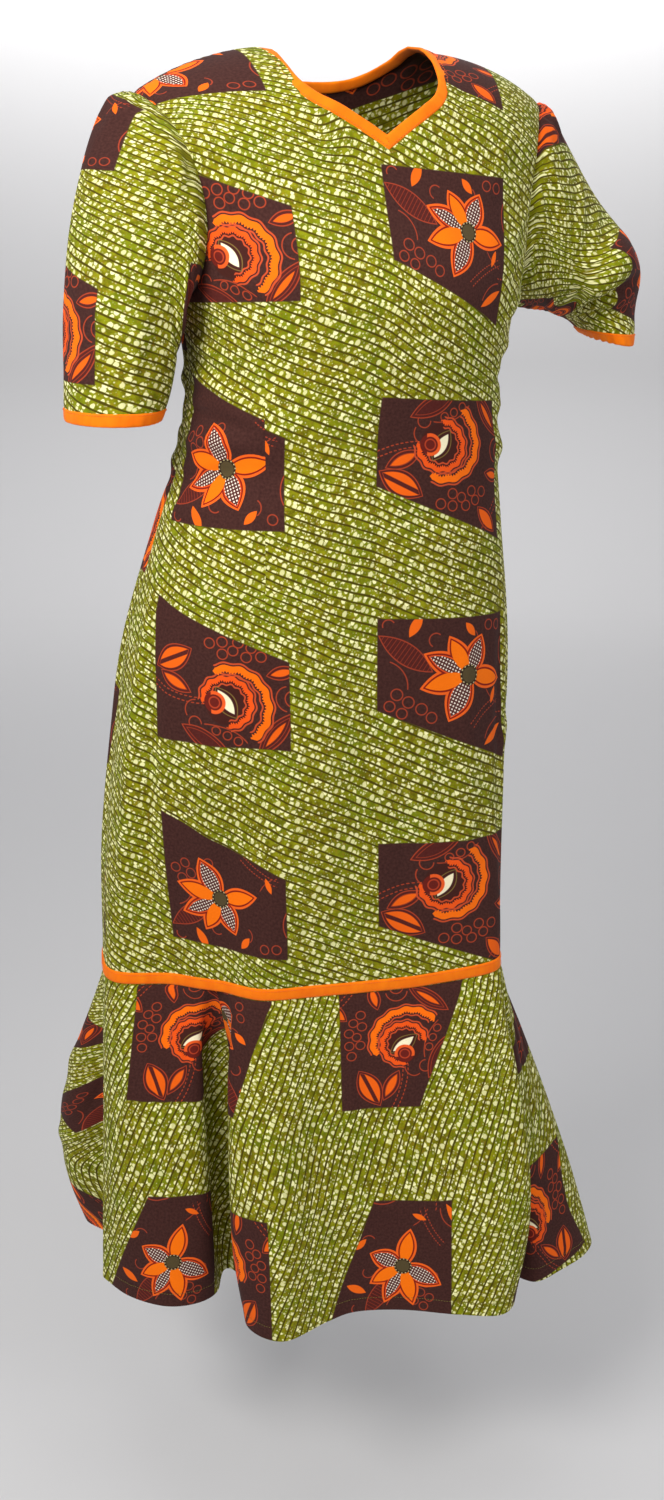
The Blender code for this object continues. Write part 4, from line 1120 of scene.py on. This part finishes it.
# %% A wire in a node tree
class Wire:
    """A value that travels through a node tree. Operators on it become math nodes."""
    tree = None

    def __init__(self, socket):
        self.socket = socket

    def __add__(self, other):
        return calc("ADD", self, other)

    def __sub__(self, other):
        return calc("SUBTRACT", self, other)

    def __rsub__(self, other):
        return calc("SUBTRACT", other, self)

    def __mul__(self, other):
        return calc("MULTIPLY", self, other)

    __radd__, __rmul__ = __add__, __mul__


def plug(socket, value):
    if isinstance(value, Wire):
        Wire.tree.links.new(value.socket, socket)
    else:
        socket.default_value = value


def calc(operation, *values, clamp=False):
    node = Wire.tree.nodes.new("ShaderNodeMath")
    node.operation, node.use_clamp = operation, clamp
    for socket, value in zip(node.inputs, values):
        plug(socket, value)
    return Wire(node.outputs[0])


def vector(operation, *values):
    node = Wire.tree.nodes.new("ShaderNodeVectorMath")
    node.operation = operation
    for socket, value in zip(node.inputs, values):
        plug(socket, value)
    is_number = operation in ("DOT_PRODUCT", "DISTANCE", "LENGTH")
    return Wire(node.outputs["Value" if is_number else "Vector"])


def point(x, y, z=0.0):
    node = Wire.tree.nodes.new("ShaderNodeCombineXYZ")
    for socket, value in zip(node.inputs, (x, y, z)):
        plug(socket, value)
    return Wire(node.outputs[0])


def parts_of(value):
    node = Wire.tree.nodes.new("ShaderNodeSeparateXYZ")
    plug(node.inputs[0], value)
    return Wire(node.outputs[0]), Wire(node.outputs[1])


# %% Short names for the math
def least(*values):
    return reduce(lambda a, b: calc("MINIMUM", a, b), values)


def most(*values):
    return reduce(lambda a, b: calc("MAXIMUM", a, b), values)


def size_of(a):
    return calc("ABSOLUTE", a)


def ink(distance, soft):
    """1 where the distance is above 0 and 0 below, with a soft step between."""
    return calc("MULTIPLY_ADD", distance, 1.0 / soft, 0.5, clamp=True)


# %% Colours
def mix(factor, low, high):
    node = Wire.tree.nodes.new("ShaderNodeMix")
    node.data_type = "RGBA"
    plug(node.inputs["Factor"], factor)
    for socket, value in ((node.inputs[6], low), (node.inputs[7], high)):
        plug(socket, value)
    return Wire(node.outputs[2])


def linear(red, green, blue):
    """A colour given in screen values, as the linear values that a shader needs."""
    def one(value):
        value /= 255
        return value / 12.92 if value <= 0.04045 else ((value + 0.055) / 1.055) ** 2.4
    return (one(red), one(green), one(blue), 1.0)


def paint(colour, distance, soft, red, green, blue, strength=None):
    """The colour with another one laid over it where the distance is above 0."""
    factor = ink(distance, soft)
    if strength is not None:
        factor = factor * strength
    return mix(factor, colour, linear(red, green, blue))


# %% Groups and textures
KINDS = {"f": "NodeSocketFloat", "v": "NodeSocketVector", "c": "NodeSocketColor"}


def make_group(title, inputs, outputs, build):
    """A node group with named sockets. inputs gives (name, kind, value), outputs (name, kind)."""
    tree = bpy.data.node_groups.new(title, "ShaderNodeTree")
    for name, kind, value in inputs:
        socket = tree.interface.new_socket(name=name, in_out="INPUT", socket_type=KINDS[kind])
        socket.default_value = value
    for name, kind in outputs:
        tree.interface.new_socket(name=name, in_out="OUTPUT", socket_type=KINDS[kind])
    enter, leave = tree.nodes.new("NodeGroupInput"), tree.nodes.new("NodeGroupOutput")
    before, Wire.tree = Wire.tree, tree
    made = build(*(Wire(enter.outputs[name]) for name, _, _ in inputs))
    made = made if isinstance(made, tuple) else (made,)
    for (name, _), value in zip(outputs, made):
        plug(leave.inputs[name], value)
    Wire.tree = before
    print(f"group {title}: {len(tree.nodes)} nodes")
    return tree


def use(group, **values):
    node = Wire.tree.nodes.new("ShaderNodeGroup")
    node.node_tree = group
    for name, value in values.items():
        plug(node.inputs[name], value)
    made = tuple(Wire(socket) for socket in node.outputs)
    return made[0] if len(made) == 1 else made


def noise(place, scale, detail=2.0, rough=0.5):
    node = Wire.tree.nodes.new("ShaderNodeTexNoise")
    node.noise_dimensions = "2D"
    values = {"Vector": place, "Scale": scale, "Detail": detail, "Roughness": rough}
    for name, value in values.items():
        plug(node.inputs[name], value)
    return Wire(node.outputs[0])


def scatter(place, randomness):
    """The distance from the nearest of many spots, and two random numbers of that spot."""
    node = Wire.tree.nodes.new("ShaderNodeTexVoronoi")
    node.voronoi_dimensions, node.feature = "2D", "F1"
    for name, value in (("Vector", place), ("Scale", 1.0), ("Randomness", randomness)):
        plug(node.inputs[name], value)
    return (Wire(node.outputs["Distance"]), *parts_of(Wire(node.outputs["Color"])))


# %% [markdown]
# ## Three building shapes
#
# A leaf or a petal is a lens that starts at a point and runs in a direction. A stem or a tendril
# is part of a circle. A berry is a whole ring. Each group gives a distance, so that the drawing
# can outline a shape, fill it, or inset a second line into it.

# %% Leaf, arc and ring groups
X_WAY, Y_WAY, ORIGIN = (1, 0, 0), (0, 1, 0), (0, 0, 0)


def build_leaf(place, start, way, side, length, width):
    away = vector("SUBTRACT", place, start)
    share = calc("DIVIDE", vector("DOT_PRODUCT", away, way), length) * 2.0 - 1.0
    body_width = (1.0 - share * share) * width
    return body_width - size_of(vector("DOT_PRODUCT", away, side))


LEAF = make_group(
    "Leaf shape",
    (("Place", "v", ORIGIN), ("Start", "v", ORIGIN), ("Way", "v", X_WAY), ("Side", "v", Y_WAY),
     ("Length", "f", 30.0), ("Width", "f", 6.0)),
    (("Inside", "f"),),
    build_leaf,
)


def build_arc(place, centre, radius, facing, opening):
    away = vector("SUBTRACT", place, centre)
    length = vector("LENGTH", away)
    beyond = length * opening - vector("DOT_PRODUCT", away, facing)
    return size_of(length - radius) + most(beyond, 0.0) * 1.5


ARC = make_group(
    "Arc line",
    (("Place", "v", ORIGIN), ("Centre", "v", ORIGIN), ("Radius", "f", 10.0),
     ("Facing", "v", X_WAY), ("Opening", "f", 0.0)),
    (("Away", "f"),),
    build_arc,
)


# %% The same shapes by plain numbers
def leaf(place, x0, y0, x1, y1, width):
    """How far inside a leaf that runs from (x0, y0) to (x1, y1). x is right and y is down, in mm."""
    length = math.hypot(x1 - x0, y1 - y0)
    ux, uy = (x1 - x0) / length, (y1 - y0) / length
    return use(
        LEAF, Place=place, Start=(x0, y0, 0), Way=(ux, uy, 0), Side=(-uy, ux, 0),
        Length=length, Width=width,
    )


def opening_of(first, last):
    """The middle direction of two angles clockwise from up, and the cosine of half their span."""
    middle, half = math.radians((first + last) / 2), math.radians((last - first) / 2)
    return (math.sin(middle), -math.cos(middle), 0), math.cos(half)


def arc(place, x, y, radius, first, last):
    """The distance from part of a circle, between two angles clockwise from up."""
    facing, opening = opening_of(first, last)
    return use(
        ARC, Place=place, Centre=(x, y, 0), Radius=radius, Facing=facing, Opening=opening
    )


def ring(place, x, y, radius):
    return size_of(vector("DISTANCE", place, (x, y, 0)) - radius)


def merge(pick, shape, place, table):
    """A table of shapes as one distance. pick is least for lines and most for filled shapes."""
    return pick(*(shape(place, *row) for row in table))


# %% [markdown]
# ## The repeat of the print
#
# Flower patches stand in columns. Each patch is a four-sided window with a flat edge, a short side
# and a long side, and every other column is turned upside down. The two drawings take turns down
# a column, and the turned columns mirror them. Most wax prints are built on such a small repeat.

# %% Cells and windows
# metres: from column to column, from row to row, the first window's middle, the odd columns' drop
COLUMN_PITCH, ROW_PITCH = 0.206, 0.195
FIRST_COLUMN, FIRST_ROW, ODD_DROP = 0.063, 0.0515, 0.006
# millimetres: half the width, the flat edge, and the short side's end and slope to the long side
HALF_WIDTH, FLAT_EDGE, SHORT_END, SLOPE = 63.0, 51.5, 26.5, 0.397


def build_cells(p, q, flip):
    column = calc("ROUND", (p - FIRST_COLUMN) * (1 / COLUMN_PITCH))
    odd = calc("FLOORED_MODULO", column, 2.0)
    side = 1.0 - odd * 2.0
    x = (p - FIRST_COLUMN - column * COLUMN_PITCH) * 1000.0
    start = q - FIRST_ROW - odd * ODD_DROP
    row = calc("ROUND", start * (1 / ROW_PITCH))
    y = (start - row * ROW_PITCH) * 1000.0
    wx, wy = x * side, y * side
    slope = ((wx + HALF_WIDTH) * SLOPE + SHORT_END - wy) * 0.93
    inside = least(HALF_WIDTH - size_of(wx), wy + FLAT_EDGE, slope)
    second = calc("FLOORED_MODULO", column + row, 2.0)
    return point(x, y * side * flip), side, second, inside


CELLS = make_group(
    "Patch cells",
    (("P", "f", 0.0), ("Q", "f", 0.0), ("Flip", "f", 1.0)),
    (("Place", "v"), ("Side", "f"), ("Second", "f"), ("Inside", "f")),
    build_cells,
)

# %% [markdown]
# ## The star flower
#
# The first drawing is an open flower with six pointed petals. Three are filled with solid orange
# and three hold a fine net, seen as pale dots on a dark ground. An orange line runs round all of
# them with a dark band inside it, and the heart is a dark disc with pale beads near its edge.

# %% Six petals and a heart
# angle clockwise from up, length, half width
SOLID_PETALS = ((331, 39, 10.0), (101, 43, 10.0), (257, 46, 10.5))
NET_PETALS = ((25, 37, 12.0), (207, 44, 12.5), (295, 46, 10.5))


HEART_RADIUS, BEAD_RADIUS, BEADS = 9.0, 8.2, 14.0


def petal(place, angle, length, width):
    ux, uy = math.sin(math.radians(angle)), -math.cos(math.radians(angle))
    return leaf(place, -3 * ux, -3 * uy, length * ux, length * uy, width)


def drawing(title, build):
    """A group that draws on a base colour, in millimetres round its own middle."""
    inputs = (("Place", "v", ORIGIN), ("Base", "c", (0, 0, 0, 1)))
    return make_group(title, inputs, (("Colour", "c"),), build)


def build_star(place, base):
    x, y = parts_of(place)
    solid, net = (merge(most, petal, place, table) for table in (SOLID_PETALS, NET_PETALS))
    outer = most(solid, net)
    colour = paint(base, outer + 0.2, 0.5, 240, 98, 28)
    colour = paint(colour, outer - 2.0, 0.5, 130, 28, 14)
    mesh_one, mesh_two = (x + y * 0.5) * 2.0, (x * 0.5 - y) * 2.0
    holes = least(calc("SINE", mesh_one), calc("SINE", mesh_two))
    threads = mix(ink(holes - 0.08, 0.45), linear(84, 44, 40), linear(240, 226, 208))
    on_net = ink(net - solid, 0.6)
    colour = paint(colour, net - 3.6, 0.5, 226, 84, 30, on_net)
    colour = mix(ink(net - 4.6, 0.5) * on_net, colour, threads)
    colour = paint(colour, solid - 3.6, 0.5, 250, 116, 6)
    reach = vector("LENGTH", place)
    around = calc("ARCTAN2", x, y)
    beads = calc("SINE", around * BEADS) * 0.5 - size_of(reach - BEAD_RADIUS) * 0.8
    core = mix(ink(6.8 - reach, 0.8), linear(48, 34, 22), linear(82, 70, 44))
    core = paint(core, beads - 0.1, 0.6, 214, 196, 140)
    return mix(ink(HEART_RADIUS - reach, 0.8), colour, core)


STAR = drawing("Star flower", build_star)

# %% [markdown]
# ## The shell flower
#
# The second drawing is a bloom seen from its side, like an open shell on a stem. Two scalloped
# orange bands curl round a pale core, each with a fringe of fine strokes on its inner edge.

# %% Bands, core and bulb
def shell_band(place, x, y, radius, first, last, half, waves, turn, fringe):
    away = vector("SUBTRACT", place, (x, y, 0))
    ax, ay = parts_of(away)
    around = calc("ARCTAN2", ax, ay)
    wave = calc("SINE", around * waves + turn) * 0.75
    facing, opening = opening_of(first, last)
    length = vector("LENGTH", away)
    beyond = most(length * opening - vector("DOT_PRODUCT", away, facing), 0.0) * 0.9
    off = length + wave - radius
    inner_edge = off + half + calc("SINE", around * fringe) * 0.8
    line = size_of(size_of(off + 0.3) - half - 2.4) + beyond
    return least(half - off, inner_edge) - beyond, line


# x, y, radius, first and last angle, half width, waves, their turn, fringe strokes
OUTER_BAND = (6.0, -15.0, 34.0, 38, 200, 3.2, 15.0, 0.4, 74.0)
INNER_BAND = (3.0, -11.5, 21.5, 8, 268, 2.4, 13.0, 1.2, 58.0)


def build_shell(place, base):
    x, _ = parts_of(place)
    outer, outer_line = shell_band(place, *OUTER_BAND)
    inner, inner_line = shell_band(place, *INNER_BAND)
    hollow = vector("DISTANCE", place, (*INNER_BAND[:2], 0))
    colour = paint(base, 20.0 - hollow, 1.5, 66, 30, 24)
    colour = paint(colour, 0.75 - least(outer_line, inner_line), 0.6, 198, 76, 40)
    colour = paint(colour, outer, 0.6, 250, 112, 10)
    colour = paint(colour, inner, 0.6, 238, 86, 22)
    halo = leaf(place, 11.5, -25.0, -6.0, 2.0, 8.0)
    colour = paint(colour, 0.5 - size_of(halo), 0.5, 120, 96, 48)
    core = leaf(place, 9.5, -21.5, -4.5, -0.5, 4.6)
    colour = paint(colour, core, 0.7, 249, 238, 198)
    bulb = vector("DISTANCE", place, (-8.0, -12.0, 0))
    colour = paint(colour, 9.5 - bulb, 0.6, 104, 30, 22)
    lit = least(1.5 - size_of(bulb - 8.6), x + 11.0)
    colour = paint(colour, lit, 0.6, 236, 92, 34)
    return paint(colour, 0.6 - size_of(bulb - 4.8), 0.5, 178, 62, 34)


SHELL = drawing("Shell flower", build_shell)

# %% [markdown]
# ## Leaves, berries and tendrils
#
# Fine dull orange lines fill the dark ground round each flower: hatched leaves, strings of
# berries, double stems with dashes and curled tendrils. They touch the window's edge and are cut
# off there, as if the vine went on behind the stripes.

# %% Tables of the line work
# x, y, radius
STAR_BERRIES = (
    (-47, 13, 4.8), (-37.5, 19.5, 4.8), (-26.5, 25.5, 4.8), (-18, 33, 4.6), (-53, 23, 4.4),
    (-43, 29, 4.4), (41, -43, 4.4), (53, -42, 4.4),
)
SHELL_BERRIES = (
    (-7, 41, 4.6), (4.6, 43, 4.6), (4.6, 32, 4.6), (18.7, 43, 4.6), (14, 35.5, 4.4), (25.5, 30, 4.6),
    (30, 38.5, 4.4), (38.5, 31, 4.6), (-3.3, -37, 3.8), (6.5, -41, 3.8), (16, -46, 3.8),
)
# x, y, radius, first and last angle
STAR_STEMS = (
    (80, 110, 94, 318, 344), (80, 110, 89, 318, 344), (62, 2, 26, 196, 246),
    (60, 4, 32, 158, 190),
)
SHELL_STEMS = (
    (-22, 70, 85, 328, 366), (-22, 70, 80, 328, 366), (150, 150, 142, 306, 324),
    (150, 150, 137, 306, 324),
)
STAR_CURLS = (
    (-14, -33, 6, 210, 400), (20, -33, 7.5, 40, 150), (-60, 6, 22, 20, 96), (56, 62, 22, 288, 360),
    (86, -18, 26, 236, 296), (-54, -46, 5, 250, 420),
)
SHELL_CURLS = (
    (-8, -74, 42, 130, 188), (-23, -33, 6, 90, 300), (-22, -22, 10, 180, 300),
    (62, -6, 11, 190, 350), (66, -6, 7, 170, 360),
)
# from x, y to x, y, half width
STAR_FILLS = (
    (-37, -36, -26, -56, 4.2), (14, -47, 24, -35, 3.6), (34, 61, 60, 46, 3.6), (44, 26, 50, 12, 2.6),
)
SHELL_LEAVES = (
    (-56, 10, -26, -6, 7.0), (-61, 13, -24, 34, 11.5), (33, 45, 55, 69, 7.5), (34, -58, 66, -18, 8.0),
    (43, 14, 70, 20, 6.0), (-36, -36, 8, -58, 8.5),
)
LINE_HALF_WIDTH = 0.46


# %% Line work round the flowers
def line_work(place, lines, berries, stems, dash, curls):
    """The least distance from a vine's lines. The dash breaks its stems."""
    return least(
        lines, merge(least, ring, place, berries), merge(least, arc, place, stems) + dash,
        merge(least, arc, place, curls),
    )


def build_star_vine(place, base):
    x, y = parts_of(place)
    hatched = leaf(place, -62, -37, -17, -6, 9.0)
    hatch = size_of(calc("FRACT", (x * 0.83 + y * 0.56) * 0.30) - 0.5) * 3.3 + 0.35
    lines = least(size_of(hatched), most(hatch, 0.6 - hatched))
    dash = most(calc("SINE", (x - y) * 1.5), 0.0) * 1.1
    lines = line_work(place, lines, STAR_BERRIES, STAR_STEMS, dash, STAR_CURLS)
    colour = paint(base, hatched, 0.8, 96, 26, 20, 0.5)
    colour = paint(colour, LINE_HALF_WIDTH - lines, 0.7, 164, 62, 38)
    return paint(colour, merge(most, leaf, place, STAR_FILLS), 0.6, 240, 102, 18)


def build_shell_vine(place, base):
    x, y = parts_of(place)
    slim, fat, bright, cut, bud, top = (leaf(place, *row) for row in SHELL_LEAVES)
    leaves = most(slim, fat, bright, cut, bud, top)
    lines = least(size_of(leaves), size_of(leaves - 3.0) + 0.25)
    dash = most(calc("SINE", (x - y * 0.6) * 1.3), 0.0)
    lines = line_work(place, lines, SHELL_BERRIES, SHELL_STEMS, dash, SHELL_CURLS)
    stripe = size_of(y - x * 0.48 - 44.0) - 2.2
    fills = most(slim - 3.4, least(fat - 2.8, stripe), bright - 2.2, bud - 3.0, cut - 5.5)
    colour = paint(base, leaves, 0.8, 100, 26, 20, 0.45)
    colour = paint(colour, LINE_HALF_WIDTH - lines, 0.7, 172, 64, 36)
    return paint(colour, fills, 0.8, 238, 98, 16)


STAR_VINE = drawing("Star vine", build_star_vine)
SHELL_VINE = drawing("Shell vine", build_shell_vine)

# %% [markdown]
# ## The striped ground
#
# Between the patches the cloth is olive green, ruled with thin brown lines that wander a little.
# Where wax cracked or lifted, the cloth stayed pale, so cream flecks of every size fill the bands
# between the lines. They stand across the band and never cross a line.

# %% Lines and flecks
LINE_PITCH, LINE_LEAN, LINE_WIDTH = 7.35, math.radians(23.3), 0.80


def shade_of(value, gain, offset):
    """A noise with more contrast, kept between 0 and 1."""
    return calc("MULTIPLY_ADD", value, gain, offset, clamp=True)


def build_ground(p, q):
    place = point(p, q)
    drift = noise(place, 9.0, 1.0)
    small = noise(place, 60.0, 1.0)
    along_line = (p * math.cos(LINE_LEAN) + q * math.sin(LINE_LEAN)) * 1000.0
    across = (q * math.cos(LINE_LEAN) - p * math.sin(LINE_LEAN)) * 1000.0
    band = (across + drift * 7.0 + small * 1.1) * (1 / LINE_PITCH)
    to_line = (0.5 - size_of(calc("FRACT", band) - 0.5)) * LINE_PITCH
    crumb = noise(place, 300.0, 2.0, 0.6)
    # Large flecks, one row to each band
    distance, pick, fade = scatter(point(along_line * 0.185, band + 0.5), 0.72)
    size = pick * 0.23 + 0.17 + (crumb - 0.5) * 0.22
    big = ink(size - distance, 0.11) * shade_of(fade, 0.6, 0.60)
    # Small specks anywhere
    distance, pick, fade = scatter(point(along_line * 0.42, across * 0.36), 1.0)
    little = ink(pick * 0.62 - 0.28 - distance, 0.2) * (fade * 0.75 + 0.10)
    pale = most(big, little) * ink(to_line - 1.0, 0.8)
    mottle = noise(place, 120.0, 3.0, 0.65)
    hue = noise(place, 26.0, 1.0)
    base = mix(shade_of(mottle, 3.0, -1.0), linear(98, 94, 0), linear(144, 143, 12))
    base = mix(shade_of(hue, 3.2, -1.25) * 0.45, base, linear(108, 130, 8))
    base = paint(base, crumb - 0.62, 0.12, 150, 104, 30, 0.35)
    colour = mix(pale, base, linear(252, 249, 184))
    return paint(colour, LINE_WIDTH + (small - 0.5) - to_line, 0.7, 66, 54, 2, 0.92)


CLOTH_INPUTS = (("P", "f", 0.0), ("Q", "f", 0.0))
GROUND = make_group("Striped ground", CLOTH_INPUTS, (("Colour", "c"),), build_ground)

# %% [markdown]
# ## The weave
#
# Plain cotton has fine threads both ways, with a slightly thicker one here and there. At this
# distance the threads can't be seen one by one, but they break up the light, so they go into a
# low bump. The same weave serves the print and the plain bindings.

# %% Thread height
def build_weave(p, q):
    place = point(p, q)
    across = noise(point(p * 1400.0, q * 90.0), 1.0, 1.0)
    down = noise(point(p * 90.0, q * 1400.0), 1.0, 1.0)
    rumple = noise(place, 45.0, 2.0)
    return across * 0.00010 + down * 0.00010 + rumple * 0.00060


WEAVE = make_group("Cotton weave", CLOTH_INPUTS, (("Height", "f"),), build_weave)

# %% [markdown]
# ## The two cloths
#
# Both cloths are dyed cotton, matt with a faint fuzz. The printed one has the flower windows on
# the striped ground; the flounce's flowers are printed the other way up, so it has a material of
# its own. The bindings are plain, strong orange.

# %% Material helpers
def new_material(name, values):
    """A material with these numbers on its shader. The node helpers then work in its tree."""
    material = bpy.data.materials.new(name)
    material.use_nodes = True
    Wire.tree = material.node_tree
    shader = material.node_tree.nodes["Principled BSDF"]
    for socket, value in {"Metallic": 0.0, **values}.items():
        shader.inputs[socket].default_value = value
    return material, shader


def cloth_place():
    node = Wire.tree.nodes.new("ShaderNodeUVMap")
    node.uv_map = "cut"
    return parts_of(Wire(node.outputs[0]))


def add_weave(shader, p, q, strength):
    bump = Wire.tree.nodes.new("ShaderNodeBump")
    plug(bump.inputs["Height"], use(WEAVE, P=p, Q=q))
    bump.inputs["Distance"].default_value = 1.0
    bump.inputs["Strength"].default_value = strength
    Wire.tree.links.new(bump.outputs[0], shader.inputs["Normal"])


# %% Cloth materials
PRINT_SHADER = {
    "Roughness": 0.82, "Specular IOR Level": 0.10, "Sheen Weight": 0.03, "Sheen Roughness": 0.5,
}


def print_material(name, flip):
    """The printed cloth. flip is -1 where the flowers are the other way up."""
    material, shader = new_material(name, PRINT_SHADER)
    p, q = cloth_place()
    place, side, second, inside = use(CELLS, P=p, Q=q, Flip=flip)
    grain = noise(point(p, q), 420.0, 2.0)
    dark = mix(grain, linear(47, 22, 20), linear(78, 46, 40))
    offset = point(side * 12.5 + 4.5, -2.0) if flip > 0 else point(side * 16.5 + 8.5, 2.0)
    vine = use(STAR_VINE, Place=place, Base=dark)
    star = use(STAR, Place=vector("SUBTRACT", place, offset), Base=vine)
    moved = vector("SUBTRACT", place, point(side * -6.5 - 2.5, 0.0)) if flip > 0 else place
    shell = use(SHELL, Place=moved, Base=use(SHELL_VINE, Place=place, Base=dark))
    patch = mix(second, star, shell)
    edge = paint(use(GROUND, P=p, Q=q), inside + 0.6, 0.6, 70, 58, 20, 0.8)
    plug(shader.inputs["Base Color"], mix(ink(inside, 0.5), edge, patch))
    add_weave(shader, p, q, 0.6)
    return material


print_cloth = print_material("print_cloth", 1.0)
print_cloth_turned = print_material("print_cloth_turned", -1.0)

orange_binding, shader = new_material(
    "orange_binding", {"Roughness": 0.78, "Specular IOR Level": 0.15, "Sheen Weight": 0.04}
)
p, q = cloth_place()
tone = noise(point(p, q), 90.0, 2.0)
plug(shader.inputs["Base Color"], mix(tone, linear(240, 104, 0), linear(255, 134, 4)))
add_weave(shader, p, q, 0.5)

orange_thread, _ = new_material(
    "orange_thread", {"Base Color": linear(236, 104, 30), "Roughness": 0.6}
)
olive_thread, _ = new_material(
    "olive_thread", {"Base Color": linear(122, 112, 40), "Roughness": 0.65}
)
print("materials:", sorted(material.name for material in bpy.data.materials))

# %% Finish every piece
for name, thing in cloth.items():
    thing.data.materials.append(print_cloth_turned if name.startswith("flounce") else print_cloth)
for thing in trim.values():
    thing.data.materials.append(orange_binding)
trim_stitches.data.materials.append(orange_thread)
hem_stitches.data.materials.append(olive_thread)

# %% [markdown]
# ## Joining the looks to the CAD part
#
# Each piece stands for one CAD node and rides on the part's only body.


def loop_length(points):
    return float(np.linalg.norm(np.roll(points, -1, 0) - points, axis=1).sum())


# flat width and length in metres, how it is held, what it hangs from, area of the cut
CUTS = {
    "front_body": ((0.60, 0.84), "hung", ("neck_binding_trim",), 0.376),
    "back_body": ((0.60, 0.84), "hung", ("neck_binding_trim",), 0.373),
    "sleeve_right": ((0.40, 0.25), "hung", ("front_body_cloth",), 0.067),
    "sleeve_left": ((0.40, 0.25), "hung", ("front_body_cloth",), 0.071),
    "flounce_front": ((0.82, 0.355), "hung", ("seam_band_trim",), 0.232),
    "flounce_back": ((0.90, 0.355), "hung", ("seam_band_trim",), 0.254),
}
for name, (flat, held, hangs_from, area) in CUTS.items():
    pieces = (hem_stitches,) if name == "flounce_front" else ()
lines = {
    "neck_binding": neck_line,
    "cuff_binding_right": cuff_rows["right"][0],
    "cuff_binding_left": cuff_rows["left"][0],
    "seam_band": band_top,
}
for name, line in lines.items():
    pieces = (trim_stitches,) if name == "seam_band" else ()
    length = loop_length(line)
    print(name, "length", round(length, 3))

for name, thing in {**cloth, **trim}.items():
    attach(thing, "root")
    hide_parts(name)
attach(trim_stitches, "root")
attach(hem_stitches, "root")

# %% [markdown]
# ## The room
#
# The dress is seen from its front right, a little above the middle. A plain pale sweep stands far
# behind it, so that a view from the other side isn't shut off. Broad soft lights from both sides
# in front keep the shadows faint, and the one on the left is stronger, so the folds still show
# their form. A third hangs above, one washes the sweep, and a weak one lights the back.

# %% Camera
FLOOR_Z = -FLOOR_DROP
CAMERA_PLACE = np.array((-0.5544, -1.3722, -0.13))
AIM_X, AIM_Y = 0.3746, 0.9272
YAW, PITCH = math.radians(0.358), math.radians(18.6)
SENSOR_HEIGHT, LENS = 36.0, 38.4
c, s = math.cos(YAW), math.sin(YAW)
ahead = np.array((AIM_X * c - AIM_Y * s, AIM_X * s + AIM_Y * c, 0.0))
right_way = np.array((ahead[1], -ahead[0], 0.0))
look = ahead * math.cos(PITCH) - np.array((0.0, 0.0, math.sin(PITCH)))
up_way = np.cross(right_way, look)

camera_data = bpy.data.cameras.new("camera")
camera_data.sensor_fit = "VERTICAL"
camera_data.sensor_height = SENSOR_HEIGHT
camera_data.lens = LENS
camera = bpy.data.objects.new("camera", camera_data)
bpy.context.scene.collection.objects.link(camera)


def facing_matrix(place, right, up, back):
    rows = np.stack([right, up, back, place], 1).tolist()
    return Matrix((*rows, (0.0, 0.0, 0.0, 1.0)))


camera.matrix_world = facing_matrix(CAMERA_PLACE, right_way, up_way, -look)
bpy.context.scene.camera = camera

# %% Floor and sweep
FLOOR_START, WALL_PLACE, WALL_TOP, HALF_ROOM = -5.0, 4.80, 4.2, 6.0
SWEEP_RADIUS, SWEEP_STEPS = 0.80, 16


def sweep_mesh():
    turn = WALL_PLACE - SWEEP_RADIUS
    profile = [(FLOOR_START, 0.0), (turn, 0.0)]
    profile += [
        (turn + SWEEP_RADIUS * math.sin(a), SWEEP_RADIUS - SWEEP_RADIUS * math.cos(a))
        for a in (math.pi / 2 * k / SWEEP_STEPS for k in range(1, SWEEP_STEPS + 1))
    ]
    profile.append((WALL_PLACE, WALL_TOP))
    rows = []
    for distance, height in profile:
        for across in (-HALF_ROOM, HALF_ROOM):
            spot = ahead * distance + right_way * across
            rows.append((spot[0], spot[1], FLOOR_Z + height))
    faces = [(2 * k, 2 * k + 1, 2 * k + 3, 2 * k + 2) for k in range(len(profile) - 1)]
    return add_mesh("floor", rows, faces, None, 180)


floor = sweep_mesh()
floor_paint, _ = new_material(
    "floor_paint",
    {"Base Color": linear(212, 211, 211), "Roughness": 0.9, "Specular IOR Level": 0.1},
)
floor.data.materials.append(floor_paint)

# %% Lights
def soft_light(name, place, target, width, height, power, colour=(1.0, 1.0, 1.0)):
    data = bpy.data.lights.new(name, "AREA")
    data.shape, data.size, data.size_y = "RECTANGLE", width, height
    data.energy, data.color = power, colour
    thing = bpy.data.objects.new(name, data)
    place, target = np.asarray(place, float), np.asarray(target, float)
    back = unit(place - target)
    right = unit(np.cross((0.0, 0.0, 1.0), back))
    thing.matrix_world = facing_matrix(place, right, np.cross(back, right), back)
    bpy.context.scene.collection.objects.link(thing)
    return thing


def spot(forward, right, height):
    """A place in the room, by distances ahead of the dress, to the right and up."""
    return ahead * forward + right_way * right + (0.0, 0.0, height)


WARM = (1.0, 0.985, 0.96)
centre = spot(0.0, 0.0, -0.25)
soft_light("key_left", spot(-1.3, -0.90, 0.60), spot(0.0, 0.0, 0.0), 0.9, 0.7, 35.0, WARM)
soft_light("fill_right", spot(-1.5, 1.5, 0.65), spot(0.0, 0.0, -0.05), 1.2, 1.2, 17.0)
soft_light("top", centre + (0.0, 0.1, 2.0), centre, 1.8, 1.8, 15.0)
soft_light("wall_wash", spot(4.0, 0.0, 1.3), spot(WALL_PLACE, 0.0, 0.5), 4.0, 0.4, 52.0)
soft_light("back_fill", spot(2.4, 0.8, 0.9), centre, 1.6, 1.6, 10.0)

world = bpy.data.worlds.new("room")
world.use_nodes = True
background = world.node_tree.nodes["Background"]
background.inputs["Color"].default_value = linear(236, 238, 244)
background.inputs["Strength"].default_value = 0.45
bpy.context.scene.world = world
bpy.context.scene.view_settings.view_transform = "Standard"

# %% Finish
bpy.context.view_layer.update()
